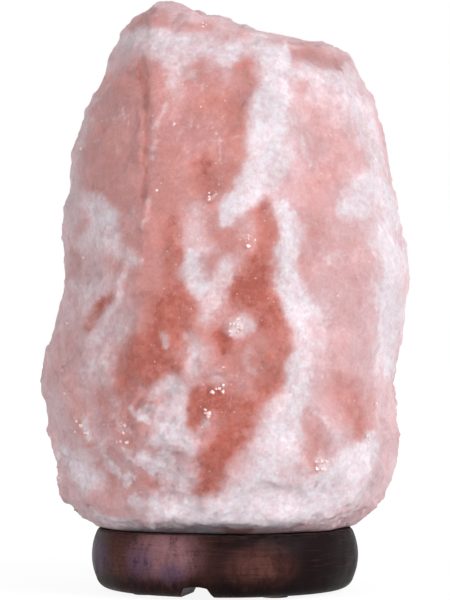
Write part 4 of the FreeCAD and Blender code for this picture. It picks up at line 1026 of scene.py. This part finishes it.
class SALT_LAMP_OT_grains(bpy.types.Operator):
    """Sets small clear salt crystals in the crusts and pits of the block"""
    bl_idname = "salt_lamp.grains"
    bl_label = "Set the clear grains"

    def execute(self, context):
        points, normals = points_and_normals(bpy.data.objects["hewn_salt"].data)
        seen = from_the_front(points)
        hidden = np.where((points[:, 1] < 0.005) & (normals[:, 1] < -0.15), 0.0, FAR_OFF)
        free = np.flatnonzero((points[:, 2] > SEAT + 0.008) & (np.hypot(points[:, 0], points[:, 1]) > BORE_CLEAR))
        dice = np.random.default_rng(5)
        seats = [(i, dice.uniform(*LOOSE_GRAIN_SIZE)) for i in dice.choice(free, LOOSE_GRAINS, replace=False)]
        for _, middle, spread, count in GRAIN_BEDS:
            for _ in range(count):
                spot = middle + dice.normal(0, spread / 2, 2)
                away = np.hypot(*(seen - spot).T) + hidden
                seats.append((np.argmin(away), dice.uniform(*BED_GRAIN_SIZE)))
        first = cut_grain()
        copies = []
        for i, size in seats:
            normal = Vector(normals[i])
            turn = normal.to_track_quat("Z", "Y") @ Euler(dice.uniform(-GRAIN_TURN, GRAIN_TURN, 3)).to_quaternion()
            place = Vector(points[i]) + normal * size * GRAIN_LIFT
            stretch = Vector((1.0, dice.uniform(0.7, 1.0), dice.uniform(0.7, 1.1))) * size
            mesh = first.data.copy()
            mesh.transform(Matrix.LocRotScale(place, turn, stretch))
            copies.append(bpy.data.objects.new("grain", mesh))
            context.scene.collection.objects.link(copies[-1])
        bpy.data.objects.remove(first)
        nothing_selected()
        for copy in copies:
            copy.select_set(True)
        piece = context.view_layer.objects.active = copies[0]
        bpy.ops.object.join()
        piece.name = "clear_grains"
        piece.data.materials.append(clear_salt())
        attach(piece, "lamp")
        return {"FINISHED"}


# ---- the base and what fixes it ----

class SALT_LAMP_OT_base(bpy.types.Operator):
    """Finishes the turned wooden base and its feet"""
    bl_idname = "salt_lamp.base"
    bl_label = "Finish the wooden base"

    def execute(self, context):
        dress(dark_wood(context.scene.salt_lamp_wood), "wooden_base")
        dress(moulding("Foot rubber", tint(46, 46, 47), tint(60, 59, 58), 0.78, 0.0006, 0.00006), "base_feet")
        return {"FINISHED"}


class SALT_LAMP_OT_fixings(bpy.types.Operator):
    """Finishes the screws, washers and plugs that hold the salt to the base"""
    bl_idname = "salt_lamp.fixings"
    bl_label = "Finish the fixings"

    def execute(self, context):
        dress(metal("Zinc plated steel", tint(190, 191, 188), tint(150, 150, 142), 0.28, 0.003, 0.4),
              "base_screws", "screw_washers", "terminal_screws")
        dress(moulding("Nylon", tint(214, 212, 204), tint(198, 195, 186), 0.5), "screw_plugs")
        return {"FINISHED"}


# ---- the lampholder ----

class SALT_LAMP_OT_holder(bpy.types.Operator):
    """Finishes the lampholder's housing, core and brass parts"""
    bl_idname = "salt_lamp.holder"
    bl_label = "Finish the lampholder"

    def execute(self, context):
        dress(moulding("Black moulding", tint(34, 33, 34), tint(46, 44, 44), 0.34), "holder_cap", "holder_sleeve")
        dress(moulding("Unglazed ceramic", tint(226, 220, 206), tint(206, 198, 182), 0.62, 0.0003, 0.00005),
              "holder_core")
        dress(metal("Pressed brass", tint(214, 178, 106), tint(164, 124, 70), 0.24, 0.004, 0.4),
              "screw_shell", "live_terminal", "neutral_terminal", "shell_rivets", "contact_tongue")
        return {"FINISHED"}


class SALT_LAMP_OT_clip(bpy.types.Operator):
    """Finishes the steel clip and its spring wings"""
    bl_idname = "salt_lamp.clip"
    bl_label = "Finish the spring clip"

    def execute(self, context):
        dress(metal("Spring steel", tint(176, 178, 182), tint(112, 106, 104), 0.26, 0.005, 0.3, 0.7),
              "clip_collar", "clip_rivets", "left_wing", "right_wing")
        return {"FINISHED"}


class SALT_LAMP_OT_bulb(bpy.types.Operator):
    """Finishes the small screw bulb"""
    bl_idname = "salt_lamp.bulb"
    bl_label = "Finish the bulb"

    def execute(self, context):
        dress(glass("Clear glass", (0.97, 0.98, 0.98), 0.0), "bulb_glass")
        dress(glass("Stem glass", (0.90, 0.95, 0.93), 0.04), "bulb_stem")
        dress(metal("Bulb cap brass", tint(222, 196, 140), tint(176, 146, 92), 0.16, 0.006, 0.25, 0.3), "bulb_cap")
        dress(moulding("Black glass", tint(26, 22, 28), tint(38, 32, 40), 0.10, 0.0008, 0.00002, 0.1, 0.5),
              "bulb_insulator")
        dress(metal("Solder", tint(186, 186, 184), tint(140, 140, 138), 0.30, 0.002, 0.5, 0.2), "bulb_contact")
        dress(metal("Filament wire", tint(132, 132, 136), tint(84, 82, 86), 0.34, 0.001, 0.4, 0.1),
              "bulb_leads", "bulb_filament", "filament_support")
        return {"FINISHED"}


# ---- the stage ----

def soft_light(name, place, size, power, aim=(0, 0, 0.11)):
    lamp = bpy.data.lights.new(name, "AREA")
    lamp.shape, lamp.size, lamp.energy = "DISK", size, power
    holder = bpy.data.objects.new(name, lamp)
    holder.location = place
    holder.rotation_euler = (Vector(aim) - Vector(place)).to_track_quat("-Z", "Y").to_euler()
    bpy.context.scene.collection.objects.link(holder)


class SALT_LAMP_OT_stage(bpy.types.Operator):
    """Sets the table, the soft lights, the white surround and the viewer"""
    bl_idname = "salt_lamp.stage"
    bl_label = "Set the stage"

    def execute(self, context):
        scene, stage = context.scene, context.scene.salt_lamp_stage
        nothing_selected()
        bpy.ops.mesh.primitive_grid_add(x_subdivisions=4, y_subdivisions=4, size=stage.table_size)
        table = context.object
        table.name = "table_top"
        table.data.materials.append(table_top())
        soft_light("right_window", (1.35, -1.05, 0.95), 1.1, stage.key_power)
        soft_light("left_fill", (-1.3, -0.9, 0.55), 0.9, stage.fill_power)
        soft_light("low_fill", (0.1, -1.7, 0.16), 0.9, stage.low_power, (0, 0, 0.05))
        scene.world = bpy.data.worlds.new("White surround")
        scene.world.use_nodes = True
        sky = Nodes(scene.world.node_tree)
        level = sky.blend(sky.in_view(), 1.0 - stage.room_level, stage.room_level)
        feed(sky.tree.nodes["Background"], {"Color": (1, 1, 1, 1), "Strength": level})
        eye = bpy.data.cameras.new("viewer")
        eye.lens, eye.sensor_width, eye.sensor_fit = stage.lens, SENSOR_WIDTH, "AUTO"
        eye.clip_start, eye.clip_end = 0.05, 30.0
        viewer = scene.camera = bpy.data.objects.new("viewer", eye)
        viewer.location = (0.0, -EYE_DISTANCE, EYE_HEIGHT)
        viewer.rotation_euler = (math.radians(90), 0, 0)
        scene.collection.objects.link(viewer)
        scene.view_settings.view_transform = "Standard"
        return {"FINISHED"}


STEPS = (SALT_LAMP_OT_stage, SALT_LAMP_OT_crystal, SALT_LAMP_OT_grains, SALT_LAMP_OT_base, SALT_LAMP_OT_fixings,
         SALT_LAMP_OT_holder, SALT_LAMP_OT_clip, SALT_LAMP_OT_bulb)


class SALT_LAMP_PT_panel(bpy.types.Panel):
    """Lists the lamp's pieces and what may be changed on them"""
    bl_label = "Salt crystal lamp"
    bl_idname = "SALT_LAMP_PT_panel"
    bl_space_type = "VIEW_3D"
    bl_region_type = "UI"
    bl_category = "Salt lamp"

    def draw(self, context):
        layout, scene = self.layout, context.scene
        for step in STEPS:
            layout.operator(step.bl_idname)
        for group in (scene.salt_lamp_salt, scene.salt_lamp_wood, scene.salt_lamp_stage):
            box = layout.box()
            for key in group.__annotations__:
                box.prop(group, key)


CLASSES = (SaltSizes, WoodColours, StageSizes, *STEPS, SALT_LAMP_PT_panel)


def register():
    for cls in CLASSES:
        bpy.utils.register_class(cls)
    bpy.types.Scene.salt_lamp_salt = PointerProperty(type=SaltSizes)
    bpy.types.Scene.salt_lamp_wood = PointerProperty(type=WoodColours)
    bpy.types.Scene.salt_lamp_stage = PointerProperty(type=StageSizes)


def unregister():
    del bpy.types.Scene.salt_lamp_salt, bpy.types.Scene.salt_lamp_wood, bpy.types.Scene.salt_lamp_stage
    for cls in reversed(CLASSES):
        bpy.utils.unregister_class(cls)


def main():
    register()
    for step in ("stage", "crystal", "grains", "base", "fixings", "holder", "clip", "bulb"):
        getattr(bpy.ops.salt_lamp, step)()


if __name__ == "__main__":
    main()
